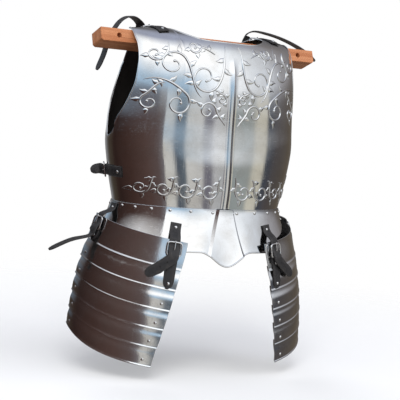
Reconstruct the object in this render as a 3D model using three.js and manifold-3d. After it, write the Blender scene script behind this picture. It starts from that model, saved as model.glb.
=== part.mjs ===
// Steel cuirass with tassets, hung on a plain wooden bar. Millimetres, +Z up, front faces -Y.
// The origin is the middle of the bar. Left and right are as seen from the front.
import * as THREE from "three";
import { mergeVertices } from "three/addons/utils/BufferGeometryUtils.js";
import Module from "manifold-3d";

const wasm = await Module();
wasm.setup();

// Driving dimensions
const SHOULDER_CREST = 34;
const TORSO_HEIGHT = 356;
const CHEST_HALF_WIDTH = 211;
const FRONT_DEPTH = 123;
const BACK_DEPTH = 127;
const SECTION_POWER = 2.2;
const SHOULDER_FALL = 9.1;
const STEEL = 1.5;
const PLATE_GAP = 1.2;
const KEEL_HEIGHT = 4.5;
const KEEL_HALF_WIDTH = 9;
const FAULD_DROP = 84;
const FAULD_FLARE_SIDE = 35;
const FAULD_FLARE_FRONT = 20;
const FAULD_DIP = 28;
const FAULD_DIP_HALF_WIDTH = 60;
const FLUTE_TOP_HALF_WIDTH = 15;
const FLUTE_BOTTOM_HALF_WIDTH = 38;
const FLUTE_EDGE = 5;
const TASSET_BELOW_WAIST_FRONT = 66;
const TASSET_BELOW_WAIST_SIDE = 26;
const TASSET_LENGTH_FRONT = 249;
const TASSET_LENGTH_SIDE = 224;
const TASSET_STAND_OUT = 42.4;
const TASSET_STAND_FORWARD = 17;
const LAME_OVERLAP = 11;
const LAME_STEP = 2.4;
const RIVET_RADIUS = 3.2;
const RIVET_HEIGHT = 2;
const RIVET_SIDES = 5;
const LEATHER = 2.6;
const INNER_LEATHER_WIDTH = 22;
const INNER_LEATHER_GAP = 1;
const STRAP_WIDTH = 22;
const SEAT = 0.35;
const WIRE_RADIUS = 1.6;
const BUCKLE_WIDTH = 32;
const BUCKLE_LENGTH = 30;
const BAR_LENGTH = 508;
const BAR_HEIGHT = 28;
const BAR_DEPTH = 42;
const BAR_TILT = 20;
const BAR_HOLE_RADIUS = 5;
const BAR_HOLE_INSET = 40;
const BAR_CHAMFER = 4;

const radians = THREE.MathUtils.degToRad;
const waistHeight = SHOULDER_CREST - TORSO_HEIGHT;

// Sections of the torso from the waist lip up to the crest. rise is a share of the torso height above
// the waist, wide of the chest's half width, front and back of the two depths.
const TORSO = [
  { rise: -0.03, wide: 0.892, front: 0.968, back: 0.896 },
  { rise: 0.0, wide: 0.886, front: 0.962, back: 0.89 },
  { rise: 0.11, wide: 0.93, front: 0.992, back: 0.925 },
  { rise: 0.23, wide: 0.972, front: 0.99, back: 0.965 },
  { rise: 0.345, wide: 1.0, front: 0.97, back: 0.995 },
  { rise: 0.46, wide: 0.99, front: 0.955, back: 1.0 },
  { rise: 0.57, wide: 0.977, front: 0.95, back: 0.985 },
  { rise: 0.67, wide: 0.97, front: 0.94, back: 0.945 },
  { rise: 0.76, wide: 0.96, front: 0.915, back: 0.87 },
  { rise: 0.84, wide: 0.947, front: 0.87, back: 0.76 },
  { rise: 0.905, wide: 0.935, front: 0.79, back: 0.62 },
  { rise: 0.952, wide: 0.925, front: 0.66, back: 0.47 },
  { rise: 0.982, wide: 0.915, front: 0.46, back: 0.31 },
  { rise: 0.996, wide: 0.91, front: 0.24, back: 0.16 },
  { rise: 1.0, wide: 0.91, front: 0.05, back: 0.05 },
];

// Half angle that the breastplate spans from its middle, in degrees, by rise.
const FRONT_ARMHOLE = [
  { rise: -0.03, angle: 84 },
  { rise: 0.43, angle: 84 },
  { rise: 0.465, angle: 82 },
  { rise: 0.52, angle: 76 },
  { rise: 0.59, angle: 70.3 },
  { rise: 0.69, angle: 65 },
  { rise: 0.79, angle: 64.2 },
  { rise: 0.9, angle: 67 },
  { rise: 0.955, angle: 71 },
  { rise: 1.0, angle: 73 },
];

// Neckline of the breastplate: the rise of its edge by share of the way out to the armhole.
const FRONT_NECK = [
  { across: 0.0, rise: 0.937 },
  { across: 0.14, rise: 0.937 },
  { across: 0.24, rise: 0.942 },
  { across: 0.33, rise: 0.958 },
  { across: 0.4, rise: 0.977 },
  { across: 0.44, rise: 0.993 },
  { across: 0.455, rise: 1.0 },
];

// Top edge of the backplate by angle from its middle: neckline, shoulder, then the armhole.
const BACK_TOP = [
  { angle: 0, rise: 0.905 },
  { angle: 14, rise: 0.91 },
  { angle: 24, rise: 0.935 },
  { angle: 29, rise: 0.97 },
  { angle: 31, rise: 1.0 },
  { angle: 51.1, rise: 1.0 },
  { angle: 51.2, rise: 0.8 },
  { angle: 54, rise: 0.72 },
  { angle: 60, rise: 0.625 },
  { angle: 66, rise: 0.56 },
  { angle: 71.4, rise: 0.49 },
  { angle: 78, rise: 0.418 },
  { angle: 85, rise: 0.362 },
  { angle: 91, rise: 0.38 },
  { angle: 97, rise: 0.435 },
  { angle: 101, rise: 0.47 },
];

// Tasset sections from top to bottom: wide and deep are shares of how far it stands out past the waist
// plate's hem, to the side and forward, and from and to are the angles of its front and side edges.
const TASSET = [
  { wide: -0.116, deep: 0.49, from: 22, to: 94 },
  { wide: 0.306, deep: 0.86, from: 24, to: 95 },
  { wide: 0.653, deep: 1.0, from: 26, to: 96 },
  { wide: 0.873, deep: 0.81, from: 28.5, to: 96 },
  { wide: 1.0, deep: 0.35, from: 31, to: 96 },
];

// Straight-line look-up of one column by another, both rising.
function lookUp(table, by, column, value) {
  let row = 1;
  while (row < table.length - 1 && table[row][by] < value) row += 1;
  const low = table[row - 1];
  const high = table[row];
  const share = THREE.MathUtils.clamp((value - low[by]) / (high[by] - low[by]), 0, 1);
  return low[column] + share * (high[column] - low[column]);
}

// Smooth curve through one column of evenly spaced rows, at a share of the table's length.
function smooth(table, column, share) {
  const last = table.length - 1;
  const place = THREE.MathUtils.clamp(share, 0, 1) * last;
  const row = Math.min(Math.floor(place), last - 1);
  const value = (index) => table[Math.min(Math.max(index, 0), last)][column];
  const t = place - row;
  const slopeHere = (value(row + 1) - value(row - 1)) / 2;
  const slopeNext = (value(row + 2) - value(row)) / 2;
  return (
    (2 * t ** 3 - 3 * t ** 2 + 1) * value(row) +
    (t ** 3 - 2 * t ** 2 + t) * slopeHere +
    (3 * t ** 2 - 2 * t ** 3) * value(row + 1) +
    (t ** 3 - t ** 2) * slopeNext
  );
}

// Share of the torso table at which a rise is reached.
function trackAt(rise) {
  let low = 0;
  let high = 1;
  for (let step = 0; step < 30; step += 1) {
    const middle = (low + high) / 2;
    if (smooth(TORSO, "rise", middle) < rise) low = middle;
    else high = middle;
  }
  return (low + high) / 2;
}

const signedPower = (value, power) => Math.sign(value) * Math.abs(value) ** power;

// A point of a rounded section: angle 0 is the front, +90 degrees is +X.
function section(angle, halfWidth, frontDepth, backDepth) {
  const depth = Math.cos(angle) > 0 ? frontDepth : backDepth;
  return {
    x: halfWidth * signedPower(Math.sin(angle), 2 / SECTION_POWER),
    y: -depth * signedPower(Math.cos(angle), 2 / SECTION_POWER),
  };
}

// Outer face of the torso. Its shoulders fall away to the sides.
function torso(angle, track) {
  const rise = smooth(TORSO, "rise", track);
  const halfWidth = CHEST_HALF_WIDTH * smooth(TORSO, "wide", track);
  const front = FRONT_DEPTH * smooth(TORSO, "front", track);
  const back = BACK_DEPTH * smooth(TORSO, "back", track);
  const { x, y } = section(angle, halfWidth, front, back);
  const isFront = Math.cos(angle) > 0;
  const keel = isFront ? KEEL_HEIGHT * Math.max(0, 1 - Math.abs(x) / KEEL_HALF_WIDTH) : 0;
  const keelFade = THREE.MathUtils.smoothstep(0.86 - rise, 0, 0.1);
  const fall = SHOULDER_FALL * THREE.MathUtils.smoothstep(rise, 0.7, 1) * Math.abs(x / halfWidth) ** 3;
  return new THREE.Vector3(x, y - keel * keelFade, waistHeight + rise * TORSO_HEIGHT - fall);
}

const fluteHalfWidth = (fall) => THREE.MathUtils.lerp(FLUTE_TOP_HALF_WIDTH, FLUTE_BOTTOM_HALF_WIDTH, fall);
const flareAt = (fall) => signedPower(fall, 1.3);
const fauldSeat = STEEL + PLATE_GAP;
const fauldHalfWidth = (fall) =>
  CHEST_HALF_WIDTH * TORSO[1].wide + fauldSeat + FAULD_FLARE_SIDE * flareAt(fall);
const fauldFront = (fall) => FRONT_DEPTH * TORSO[1].front + fauldSeat + FAULD_FLARE_FRONT * flareAt(fall);
const fauldBack = (fall) => BACK_DEPTH * TORSO[1].back + fauldSeat + FAULD_FLARE_FRONT * flareAt(fall);

// Outer face of the waist plates, from the waist down to the level hem.
function fauld(angle, fall) {
  const point = section(angle, fauldHalfWidth(fall), fauldFront(fall), fauldBack(fall));
  const isFront = Math.cos(angle) > 0;
  const beyondFlute = (Math.abs(point.x) - fluteHalfWidth(fall)) / FLUTE_EDGE;
  const ridge = isFront ? KEEL_HEIGHT * (1 - THREE.MathUtils.clamp(beyondFlute, 0, 1)) : 0;
  const dip = Math.max(0, 1 - Math.abs(point.x) / FAULD_DIP_HALF_WIDTH);
  const drop = isFront ? FAULD_DIP * fall * (1 - Math.cos(Math.PI * dip)) / 2 : 0;
  return new THREE.Vector3(point.x, point.y - ridge, waistHeight - fall * FAULD_DROP - drop);
}

// Outer face of the tasset on the +X side. Its top and bottom edges rise towards the hip.
function tasset(angle, fall) {
  const halfWidth = fauldHalfWidth(1) + TASSET_STAND_OUT * smooth(TASSET, "wide", fall);
  const depth = fauldFront(1) + TASSET_STAND_FORWARD * smooth(TASSET, "deep", fall);
  const { x, y } = section(angle, halfWidth, depth, depth);
  const from = radians(smooth(TASSET, "from", fall));
  const to = radians(smooth(TASSET, "to", fall));
  const side = THREE.MathUtils.clamp((angle - from) / (to - from), 0, 1);
  const below = THREE.MathUtils.lerp(TASSET_BELOW_WAIST_FRONT, TASSET_BELOW_WAIST_SIDE, side);
  const length = THREE.MathUtils.lerp(TASSET_LENGTH_FRONT, TASSET_LENGTH_SIDE, side ** 2);
  return new THREE.Vector3(x, y, waistHeight - below - fall * length);
}

// The way out of a face at a place, from two small steps along it.
function outward(surface, angle, along) {
  const step = 1e-4;
  const acrossStep = surface(angle + step, along).sub(surface(angle - step, along));
  const alongStep = surface(angle, along + step).sub(surface(angle, along - step));
  const way = acrossStep.cross(alongStep).normalize();
  const from = surface(angle, along);
  const isOut = way.x * from.x + way.y * from.y + 0.4 * way.z * TORSO_HEIGHT * (from.z > 0 ? 1 : 0) > 0;
  return isOut ? way : way.negate();
}

// A station on a face, lifted off it, with the way out there.
function on(surface, angle, along, lift = 0) {
  const out = outward(surface, angle, along);
  return { at: surface(angle, along).addScaledVector(out, lift), out };
}

const mirrored = (surface, side) => (angle, along) => {
  const point = surface(angle, along);
  return new THREE.Vector3(side * point.x, point.y, point.z);
};

// Geometry from points and triangles, turned inside out if its volume came out negative.
function closedGeometry(points, triangles) {
  const volume = triangles.reduce((sum, [a, b, c]) => {
    const cross = new THREE.Vector3().crossVectors(points[b], points[c]);
    return sum + points[a].dot(cross);
  }, 0);
  const faces = volume < 0 ? triangles.map(([a, b, c]) => [a, c, b]) : triangles;
  const geometry = new THREE.BufferGeometry();
  geometry.setAttribute("position", new THREE.Float32BufferAttribute(points.flatMap((p) => p.toArray()), 3));
  geometry.setIndex(faces.flat());
  return geometry;
}

// A wall over the cells of a grid of stations: the outer face is grid[column][row], the inner face lies
// inside it, and every edge that only one cell has gets a side face. Cells may be left out.
function wall(grid, thickness, isCell = () => true) {
  const rows = grid[0].length;
  const outer = grid.flat().map((station) => station.at.clone());
  const inner = grid.flat().map((station) => station.at.clone().addScaledVector(station.out, -thickness));
  const size = outer.length;
  const triangles = [];
  const quad = (a, b, c, d) => triangles.push([a, b, c], [a, c, d]);
  const edges = new Map();
  for (let i = 0; i < grid.length - 1; i += 1) {
    for (let j = 0; j < rows - 1; j += 1) {
      if (!isCell(i, j)) continue;
      const cell = [i * rows + j, (i + 1) * rows + j, (i + 1) * rows + j + 1, i * rows + j + 1];
      quad(...cell);
      quad(...cell.map((index) => index + size).reverse());
      cell.forEach((from, corner) => {
        const to = cell[(corner + 1) % 4];
        if (!edges.delete(`${to}_${from}`)) edges.set(`${from}_${to}`, [from, to]);
      });
    }
  }
  for (const [from, to] of edges.values()) quad(to, from, from + size, to + size);
  const used = [...new Set(triangles.flat())];
  const place = new Map(used.map((index, order) => [index, order]));
  const all = [...outer, ...inner];
  return closedGeometry(
    used.map((index) => all[index]),
    triangles.map((corners) => corners.map((index) => place.get(index))),
  );
}

// A flat strap that follows stations, whose width is the way across both the route and the way out.
function strap(stations, width, thickness, tip = 1) {
  const grid = [[], []];
  stations.forEach((station, index) => {
    const before = stations[Math.max(index - 1, 0)].at;
    const after = stations[Math.min(index + 1, stations.length - 1)].at;
    const across = after.clone().sub(before).cross(station.out).normalize();
    const half = (width / 2) * (index === stations.length - 1 ? tip : 1);
    const out = across.clone().cross(after.clone().sub(before)).normalize();
    const top = station.at.clone().addScaledVector(out, thickness);
    grid[0].push({ at: top.clone().addScaledVector(across, -half), out });
    grid[1].push({ at: top.clone().addScaledVector(across, half), out });
  });
  return wall(grid, thickness);
}

// Evenly spaced stations on a smooth curve through a few chosen ones.
function smoothRoute(stations, steps) {
  const route = new THREE.CatmullRomCurve3(stations.map((s) => s.at), false, "centripetal");
  const ways = new THREE.CatmullRomCurve3(stations.map((s) => s.out), false, "centripetal");
  return Array.from({ length: steps + 1 }, (_, index) => ({
    at: route.getPoint(index / steps),
    out: ways.getPoint(index / steps).normalize(),
  }));
}

// A closed geometry as a solid that can be joined and cut, and back again.
function toSolid(geometry) {
  const bare = geometry.clone();
  bare.deleteAttribute("normal");
  bare.deleteAttribute("uv");
  const merged = mergeVertices(bare, 1e-4);
  const mesh = new wasm.Mesh({
    numProp: 3,
    vertProperties: new Float32Array(merged.attributes.position.array),
    triVerts: new Uint32Array(merged.index.array),
  });
  return new wasm.Manifold(mesh);
}

function toGeometry(solid) {
  const mesh = solid.getMesh();
  const geometry = new THREE.BufferGeometry();
  geometry.setAttribute("position", new THREE.Float32BufferAttribute(Array.from(mesh.vertProperties), 3));
  geometry.setIndex(Array.from(mesh.triVerts));
  return geometry;
}

const fused = (base, extras) =>
  toGeometry(extras.reduce((solid, extra) => solid.add(toSolid(extra)), toSolid(base)));

// A low domed rivet head, sunk a little into the face that it sits on.
function rivet({ at, out }, sunk = STEEL * 0.9) {
  const profile = [
    new THREE.Vector2(0, -sunk),
    new THREE.Vector2(RIVET_RADIUS, -sunk),
    new THREE.Vector2(RIVET_RADIUS * 0.8, RIVET_HEIGHT * 0.7),
    new THREE.Vector2(0, RIVET_HEIGHT),
  ];
  const head = new THREE.LatheGeometry(profile, RIVET_SIDES);
  head.applyQuaternion(new THREE.Quaternion().setFromUnitVectors(new THREE.Vector3(0, 1, 0), out));
  return head.translate(at.x, at.y, at.z);
}

// A round wire along points, either a closed ring or a pin with flat ends.
function wire(points, radius, isRing) {
  const sides = 5;
  const count = points.length;
  const middle = points.reduce((sum, p) => sum.add(p), new THREE.Vector3()).divideScalar(count);
  const first = points[1].clone().sub(points[0]);
  const up = isRing
    ? points[0].clone().sub(middle).cross(points[1].clone().sub(middle)).normalize()
    : new THREE.Vector3(first.y, -first.x, 0.01).normalize();
  const rings = points.map((point, index) => {
    const before = isRing ? points[(index - 1 + count) % count] : points[Math.max(index - 1, 0)];
    const after = isRing ? points[(index + 1) % count] : points[Math.min(index + 1, count - 1)];
    const along = after.clone().sub(before).normalize();
    const side = along.clone().cross(up).normalize();
    const top = side.clone().cross(along).normalize();
    return Array.from({ length: sides }, (_, corner) => {
      const turn = (2 * Math.PI * corner) / sides;
      const offset = side.clone().multiplyScalar(Math.cos(turn)).addScaledVector(top, Math.sin(turn));
      return point.clone().addScaledVector(offset, radius);
    });
  });
  const triangles = [];
  const spans = isRing ? count : count - 1;
  for (let i = 0; i < spans; i += 1) {
    const next = (i + 1) % count;
    for (let corner = 0; corner < sides; corner += 1) {
      const beside = (corner + 1) % sides;
      const a = i * sides + corner;
      const b = i * sides + beside;
      const c = next * sides + beside;
      const d = next * sides + corner;
      triangles.push([a, b, c], [a, c, d]);
    }
  }
  for (let corner = 1; !isRing && corner < sides - 1; corner += 1) {
    triangles.push([0, corner + 1, corner]);
    const last = (count - 1) * sides;
    triangles.push([last, last + corner, last + corner + 1]);
  }
  return closedGeometry(rings.flat(), triangles);
}

// A wire buckle: a rounded frame and a prong that rests on its outer side. The frame's middle, the way
// along the strap and the way out are given.
function buckle(middle, along, out) {
  const way = along.clone().normalize();
  const up = out.clone().addScaledVector(way, -out.dot(way)).normalize();
  const across = way.clone().cross(up).normalize();
  const halfWidth = BUCKLE_WIDTH / 2 - WIRE_RADIUS;
  const halfLength = BUCKLE_LENGTH / 2 - WIRE_RADIUS;
  const corners = 10;
  const frame = Array.from({ length: corners }, (_, index) => {
    const turn = (2 * Math.PI * (index + 0.5)) / corners;
    return middle
      .clone()
      .addScaledVector(across, halfWidth * signedPower(Math.cos(turn), 0.4))
      .addScaledVector(way, halfLength * signedPower(Math.sin(turn), 0.4));
  });
  const prongLift = WIRE_RADIUS * 1.5;
  const prong = [-1.15, -0.9, 0.05].map((share) =>
    middle.clone().addScaledVector(way, halfLength * share).addScaledVector(up, prongLift),
  );
  return fused(wire(frame, WIRE_RADIUS, true), [wire(prong, WIRE_RADIUS * 0.8, false)]);
}

const steelFinish = new THREE.MeshStandardMaterial({ color: 0xb9c0c6, roughness: 0.22, metalness: 1 });
const brownedFinish = new THREE.MeshStandardMaterial({ color: 0x8d8680, roughness: 0.25, metalness: 1 });
const leatherFinish = new THREE.MeshStandardMaterial({ color: 0x1a1a1c, roughness: 0.6, metalness: 0 });
const wireFinish = new THREE.MeshStandardMaterial({ color: 0xc9ccd0, roughness: 0.18, metalness: 1 });
const woodFinish = new THREE.MeshStandardMaterial({ color: 0xc27a50, roughness: 0.6, metalness: 0 });

const cuirass = new THREE.Group();

function addPiece(name, geometry, material) {
  const piece = new THREE.Mesh(geometry, material);
  piece.name = name;
  cuirass.add(piece);
}

const spread = (count, from, to) =>
  Array.from({ length: count + 1 }, (_, index) => from + ((to - from) * index) / count);

// Raised scrollwork on the breastplate, alike on both sides of the keel. Each row is one volute: its eye
// as shares of the chest's half width and the torso's height above the waist, its outer radius as a share
// of the half width, its turns, and where its outer end starts, in degrees from the way out.
const SCROLL_WIDTH = 5;
const SCROLL_HEIGHT = 1.4;
const SCROLL_EYE = 0.24;
const SCROLLS = [
  { out: 0.3, up: 0.73, radius: 0.15, turns: 1.15, start: 200 },
  { out: 0.6, up: 0.79, radius: 0.13, turns: -1.15, start: 160 },
  { out: 0.55, up: 0.575, radius: 0.12, turns: 1.15, start: 120 },
  { out: 0.19, up: 0.1, radius: 0.085, turns: 1.15, start: 200 },
  { out: 0.42, up: 0.1, radius: 0.085, turns: 1.15, start: 200 },
];

// The place on the breastplate at a distance out from the middle and a rise.
function chestPlace(distance, rise) {
  const track = trackAt(rise);
  const halfWidth = CHEST_HALF_WIDTH * smooth(TORSO, "wide", track);
  return [Math.asin(Math.min(1, distance / halfWidth) ** (SECTION_POWER / 2)), track];
}

// A rib of three-cornered section along one volute, thinner towards its eye.
function scrollRib(side, { out, up, radius, turns, start }) {
  const steps = radius > 0.1 ? 9 : 7;
  const face = mirrored(torso, side);
  const path = spread(steps, 0, 1).map((share) => {
    const turn = radians(start) + 2 * Math.PI * turns * share;
    const reach = CHEST_HALF_WIDTH * radius * (1 - (1 - SCROLL_EYE) * share);
    const distance = out * CHEST_HALF_WIDTH + reach * Math.cos(turn);
    return on(face, ...chestPlace(distance, up + (reach * Math.sin(turn)) / TORSO_HEIGHT));
  });
  const points = path.flatMap(({ at, out: way }, index) => {
    const along = path[Math.min(index + 1, steps)].at.clone().sub(path[Math.max(index - 1, 0)].at);
    const across = along.cross(way).normalize();
    const half = (SCROLL_WIDTH / 2) * (1 - 0.5 * (index / steps));
    const foot = (reach) => at.clone().addScaledVector(across, reach).addScaledVector(way, -STEEL / 2);
    return [foot(half), foot(-half), at.clone().addScaledVector(way, SCROLL_HEIGHT)];
  });
  const triangles = [[0, 1, 2], [3 * steps, 3 * steps + 2, 3 * steps + 1]];
  for (let index = 0; index < steps; index += 1) {
    for (let corner = 0; corner < 3; corner += 1) {
      const a = 3 * index + corner;
      const b = 3 * index + ((corner + 1) % 3);
      triangles.push([a, a + 3, b + 3], [a, b + 3, b]);
    }
  }
  return closedGeometry(points, triangles);
}

// Breastplate: columns run from waist to neckline or shoulder, closest at the keel and the neck.
const NECK_EDGE = FRONT_NECK[FRONT_NECK.length - 1].across;

function breastPlace(across, up) {
  const share = Math.abs(across);
  const isShoulder = share > NECK_EDGE - 1e-6;
  const topRise = isShoulder ? 1 : lookUp(FRONT_NECK, "across", "rise", share);
  const track = trackAt(topRise) * up;
  const rise = smooth(TORSO, "rise", track);
  const halfAngle = radians(lookUp(FRONT_ARMHOLE, "rise", "angle", rise));
  return [across * halfAngle, track];
}

function breastplate() {
  const keelShare = 0.035;
  const half = [keelShare, 0.12, 0.21, 0.3, 0.37, 0.42, NECK_EDGE, 0.53, 0.61, 0.7, 0.79, 0.87, 0.94, 1];
  const columns = [...half.map((share) => -share).reverse(), 0, ...half];
  const rows = spread(14, 0, 1);
  const grid = columns.map((across) => rows.map((up) => on(torso, ...breastPlace(across, up))));
  const ribs = [-1, 1].flatMap((side) => SCROLLS.map((scroll) => scrollRib(side, scroll)));
  return fused(wall(grid, STEEL), ribs);
}

addPiece("breastplate", breastplate(), steelFinish);

// Backplate: it lies a plate's thickness further in, and runs under the breastplate's side edges. Its
// shoulder tongues start above the armholes' widest level.
const TONGUE_RISE = 0.8;
const TONGUE_ANGLE = 51;
const BACK_LIFT = -STEEL - PLATE_GAP;
const BACK_LAP_ANGLE = 95;
const BACK_COLUMNS = [8, 16, 24, 29, 31, 41, TONGUE_ANGLE, 57, 65, 73, 81, 88, BACK_LAP_ANGLE];

function backplate() {
  const half = [...BACK_COLUMNS, 101];
  const angles = [...half.map((angle) => -angle).reverse(), 0, ...half];
  const bodyRows = spread(8, 0, 1);
  const tongueRows = spread(3, 0, 1).slice(1);
  const tongueTrack = trackAt(TONGUE_RISE);
  const grid = angles.map((angle) => {
    const topTrack = trackAt(lookUp(BACK_TOP, "angle", "rise", Math.abs(angle)));
    const bodyTop = Math.min(topTrack, tongueTrack);
    const tracks = [
      ...bodyRows.map((up) => bodyTop * up),
      ...tongueRows.map((up) => THREE.MathUtils.lerp(bodyTop, topTrack, up)),
    ];
    return tracks.map((track) => on(torso, Math.PI + radians(angle), track, BACK_LIFT));
  });
  const isInTongue = (column) => Math.abs(angles[column]) <= TONGUE_ANGLE;
  const isCell = (column, row) =>
    row < bodyRows.length - 1 || (isInTongue(column) && isInTongue(column + 1));
  return wall(grid, STEEL, isCell);
}

addPiece("backplate", backplate(), steelFinish);

// Waist plates, with a row of rivets along the waist.
const FAULD_SIDE_ANGLE = 88;
const FAULD_RIVET_ANGLE = 77;
const FAULD_RIVET_FALL = 0.07;
const BACK_FAULD_LIFT = 2 * BACK_LIFT + STEEL + PLATE_GAP / 1.5;
const FAULD_RIVETS = 6;
const BACK_FAULD_RIVETS = 3;

// The angle at which the front waist plate reaches a distance from its middle.
function fauldAngle(distance, fall) {
  return Math.asin((distance / fauldHalfWidth(fall)) ** (SECTION_POWER / 2));
}

function frontFauld() {
  const flute = [fluteHalfWidth, (fall) => fluteHalfWidth(fall) + FLUTE_EDGE];
  const half = [
    ...flute.map((distance) => (fall) => fauldAngle(distance(fall), fall)),
    ...[15, 24, 34, 44, 53, 62, 70, 77, 83, FAULD_SIDE_ANGLE].map((angle) => () => radians(angle)),
  ];
  const columns = [...half.map((place) => (fall) => -place(fall)).reverse(), () => 0, ...half];
  const grid = columns.map((place) => spread(3, 0, 1).map((fall) => on(fauld, place(fall), fall)));
  const rivets = spread(2 * FAULD_RIVETS - 1, -FAULD_RIVET_ANGLE, FAULD_RIVET_ANGLE).map((angle) =>
    rivet(on(fauld, radians(angle), FAULD_RIVET_FALL)),
  );
  return fused(wall(grid, STEEL), rivets);
}

function backFauld() {
  const columns = [...BACK_COLUMNS.map((angle) => -angle).reverse(), 0, ...BACK_COLUMNS];
  const grid = columns.map((angle) =>
    spread(2, 0, 1).map((fall) => on(fauld, Math.PI + radians(angle), fall, BACK_FAULD_LIFT)),
  );
  const rivets = spread(2 * BACK_FAULD_RIVETS - 1, -FAULD_RIVET_ANGLE, FAULD_RIVET_ANGLE).map((angle) =>
    rivet(on(fauld, Math.PI + radians(angle), FAULD_RIVET_FALL, BACK_FAULD_LIFT)),
  );
  return fused(wall(grid, STEEL), rivets);
}

addPiece("fauld_front", frontFauld(), steelFinish);
addPiece("fauld_back", backFauld(), steelFinish);

// Tassets: six lames, each tucked under the one above, riveted to two leathers inside. A lame ends at
// a share of the tasset's length.
const LAME_ENDS = [0.222, 0.386, 0.548, 0.7, 0.848, 1];
const RIVET_EDGE_INSET = 5;
const LAME_RIVET_INSET = 13;
const LAME_PROFILE = [
  { down: 0, lift: -1 },
  { down: 0.26, lift: -0.9 },
  { down: 0.5, lift: -0.1 },
  { down: 1, lift: 0 },
];

const tassetShare = (length) => length / TASSET_LENGTH_FRONT;
const tassetEdge = (fall, isSide) => smooth(TASSET, isSide ? "to" : "from", fall);
const rivetAngle = (fall, isSide) =>
  radians(tassetEdge(fall, isSide) + (isSide ? -RIVET_EDGE_INSET : RIVET_EDGE_INSET));
const rivetFall = (number) => LAME_ENDS[number - 1] - tassetShare(LAME_RIVET_INSET);

// The chapes of the buckles are riveted over these lames, whose own rivets they take.
const CHAPE_LAMES = { front: 2, hip: 1 };

function lame(side, number) {
  const face = mirrored(tasset, side);
  const top = number === 1 ? 0 : LAME_ENDS[number - 2] - tassetShare(LAME_OVERLAP);
  const bottom = LAME_ENDS[number - 1];
  const grid = spread(8, 0, 1).map((across) =>
    LAME_PROFILE.map(({ down, lift }) => {
      const fall = top + (bottom - top) * down;
      const angle = THREE.MathUtils.lerp(tassetEdge(fall, false), tassetEdge(fall, true), across);
      const tuck = number === 1 ? 0 : lift * LAME_STEP;
      return on(face, radians(angle), fall, tuck);
    }),
  );
  const fall = rivetFall(number);
  const rivetSides = [];
  if (number > CHAPE_LAMES.front) rivetSides.push(false);
  if (number > CHAPE_LAMES.hip) rivetSides.push(true);
  const rivets = rivetSides.map((isSide) => rivet(on(face, rivetAngle(fall, isSide), fall)));
  return fused(wall(grid, STEEL), rivets);
}

function tassetLeather(side, isSide) {
  const face = mirrored(tasset, side);
  const lift = -LAME_STEP - STEEL - INNER_LEATHER_GAP - LEATHER;
  const stations = spread(6, 0.13, 0.97).map((fall) => on(face, rivetAngle(fall, isSide), fall, lift));
  return strap(stations, INNER_LEATHER_WIDTH, LEATHER);
}

const SIDES = [
  { name: "left", side: -1 },
  { name: "right", side: 1 },
];

for (const { name, side } of SIDES) {
  LAME_ENDS.forEach((_, index) => {
    addPiece(`${name}_tasset_lame_${index + 1}`, lame(side, index + 1), brownedFinish);
  });
  addPiece(`${name}_tasset_leather_front`, tassetLeather(side, false), leatherFinish);
  addPiece(`${name}_tasset_leather_side`, tassetLeather(side, true), leatherFinish);
}

// A strap lies on its plate, passes under the outer side of its buckle and over the side that the chape
// holds. These are the heights of their faces above the plate.
const SLACK = 0.9;
const STRAP_LIFT = SEAT + 0.4;
const WIRE_LIFT = STRAP_LIFT + LEATHER + SLACK + WIRE_RADIUS;
const OVER_LIFT = WIRE_LIFT + WIRE_RADIUS + SLACK;
const HALF_FRAME = BUCKLE_LENGTH / 2 - WIRE_RADIUS;
const TIP = 0.35;
const BEFORE_FRAME = 8;
const INSIDE_FRAME = 2;
const PAST_FRAME = 4;
const CHAPE_FOLD = 6;

// The free end of a strap: how far out, back and up each place lies from where the strap leaves its
// buckle, in strap widths, and the way out of the leather there.
const freeEnd = (side, table) => (start) =>
  table.map(({ out, back, up, way }) => ({
    at: new THREE.Vector3(side * out, back, up).multiplyScalar(STRAP_WIDTH).add(start.at),
    out: new THREE.Vector3(side * way[0], way[1], way[2]).normalize(),
  }));

// A strap through its buckle. place gives a station at a length along the plate from the frame's middle
// and a lift above the plate; held is what comes before the frame, tailFrom gives what comes after it,
// and bulge is what the plate curves away from a straight frame.
function buckledStrap(place, held, tailFrom, bulge = 0) {
  const through = [
    place(-HALF_FRAME - BEFORE_FRAME, STRAP_LIFT + SEAT),
    place(-HALF_FRAME + INSIDE_FRAME, STRAP_LIFT),
    place(0, OVER_LIFT * 0.4),
    place(HALF_FRAME - INSIDE_FRAME, OVER_LIFT + bulge),
    place(HALF_FRAME + PAST_FRAME, OVER_LIFT + bulge),
  ];
  const last = through[through.length - 1];
  const tail = tailFrom(last);
  const tailRoute = smoothRoute([last, ...tail], 2 * tail.length).slice(1);
  return strap([...held, ...through, ...tailRoute], STRAP_WIDTH, LEATHER, TIP);
}

// The leather tongue that holds the buckle: it ends at a length from the frame's middle.
function chape(place, reach, rivetPlaces) {
  const lengths = spread(4, HALF_FRAME - CHAPE_FOLD, reach);
  const body = strap(lengths.map((length) => place(length, SEAT)), STRAP_WIDTH, LEATHER, TIP);
  return fused(body, rivetPlaces.map((length) => rivet(place(length, SEAT + LEATHER), LEATHER / 2)));
}

function buckleAt(place) {
  const middle = place(0, WIRE_LIFT);
  const ahead = place(HALF_FRAME, WIRE_LIFT);
  return buckle(middle.at, ahead.at.clone().sub(place(-HALF_FRAME, WIRE_LIFT).at), middle.out);
}

function addBuckled(name, { strapGeometry, chapeGeometry, buckleGeometry }) {
  addPiece(`${name}_strap`, strapGeometry, leatherFinish);
  addPiece(`${name}_chape`, chapeGeometry, leatherFinish);
  addPiece(`${name}_buckle`, buckleGeometry, wireFinish);
}

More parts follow.
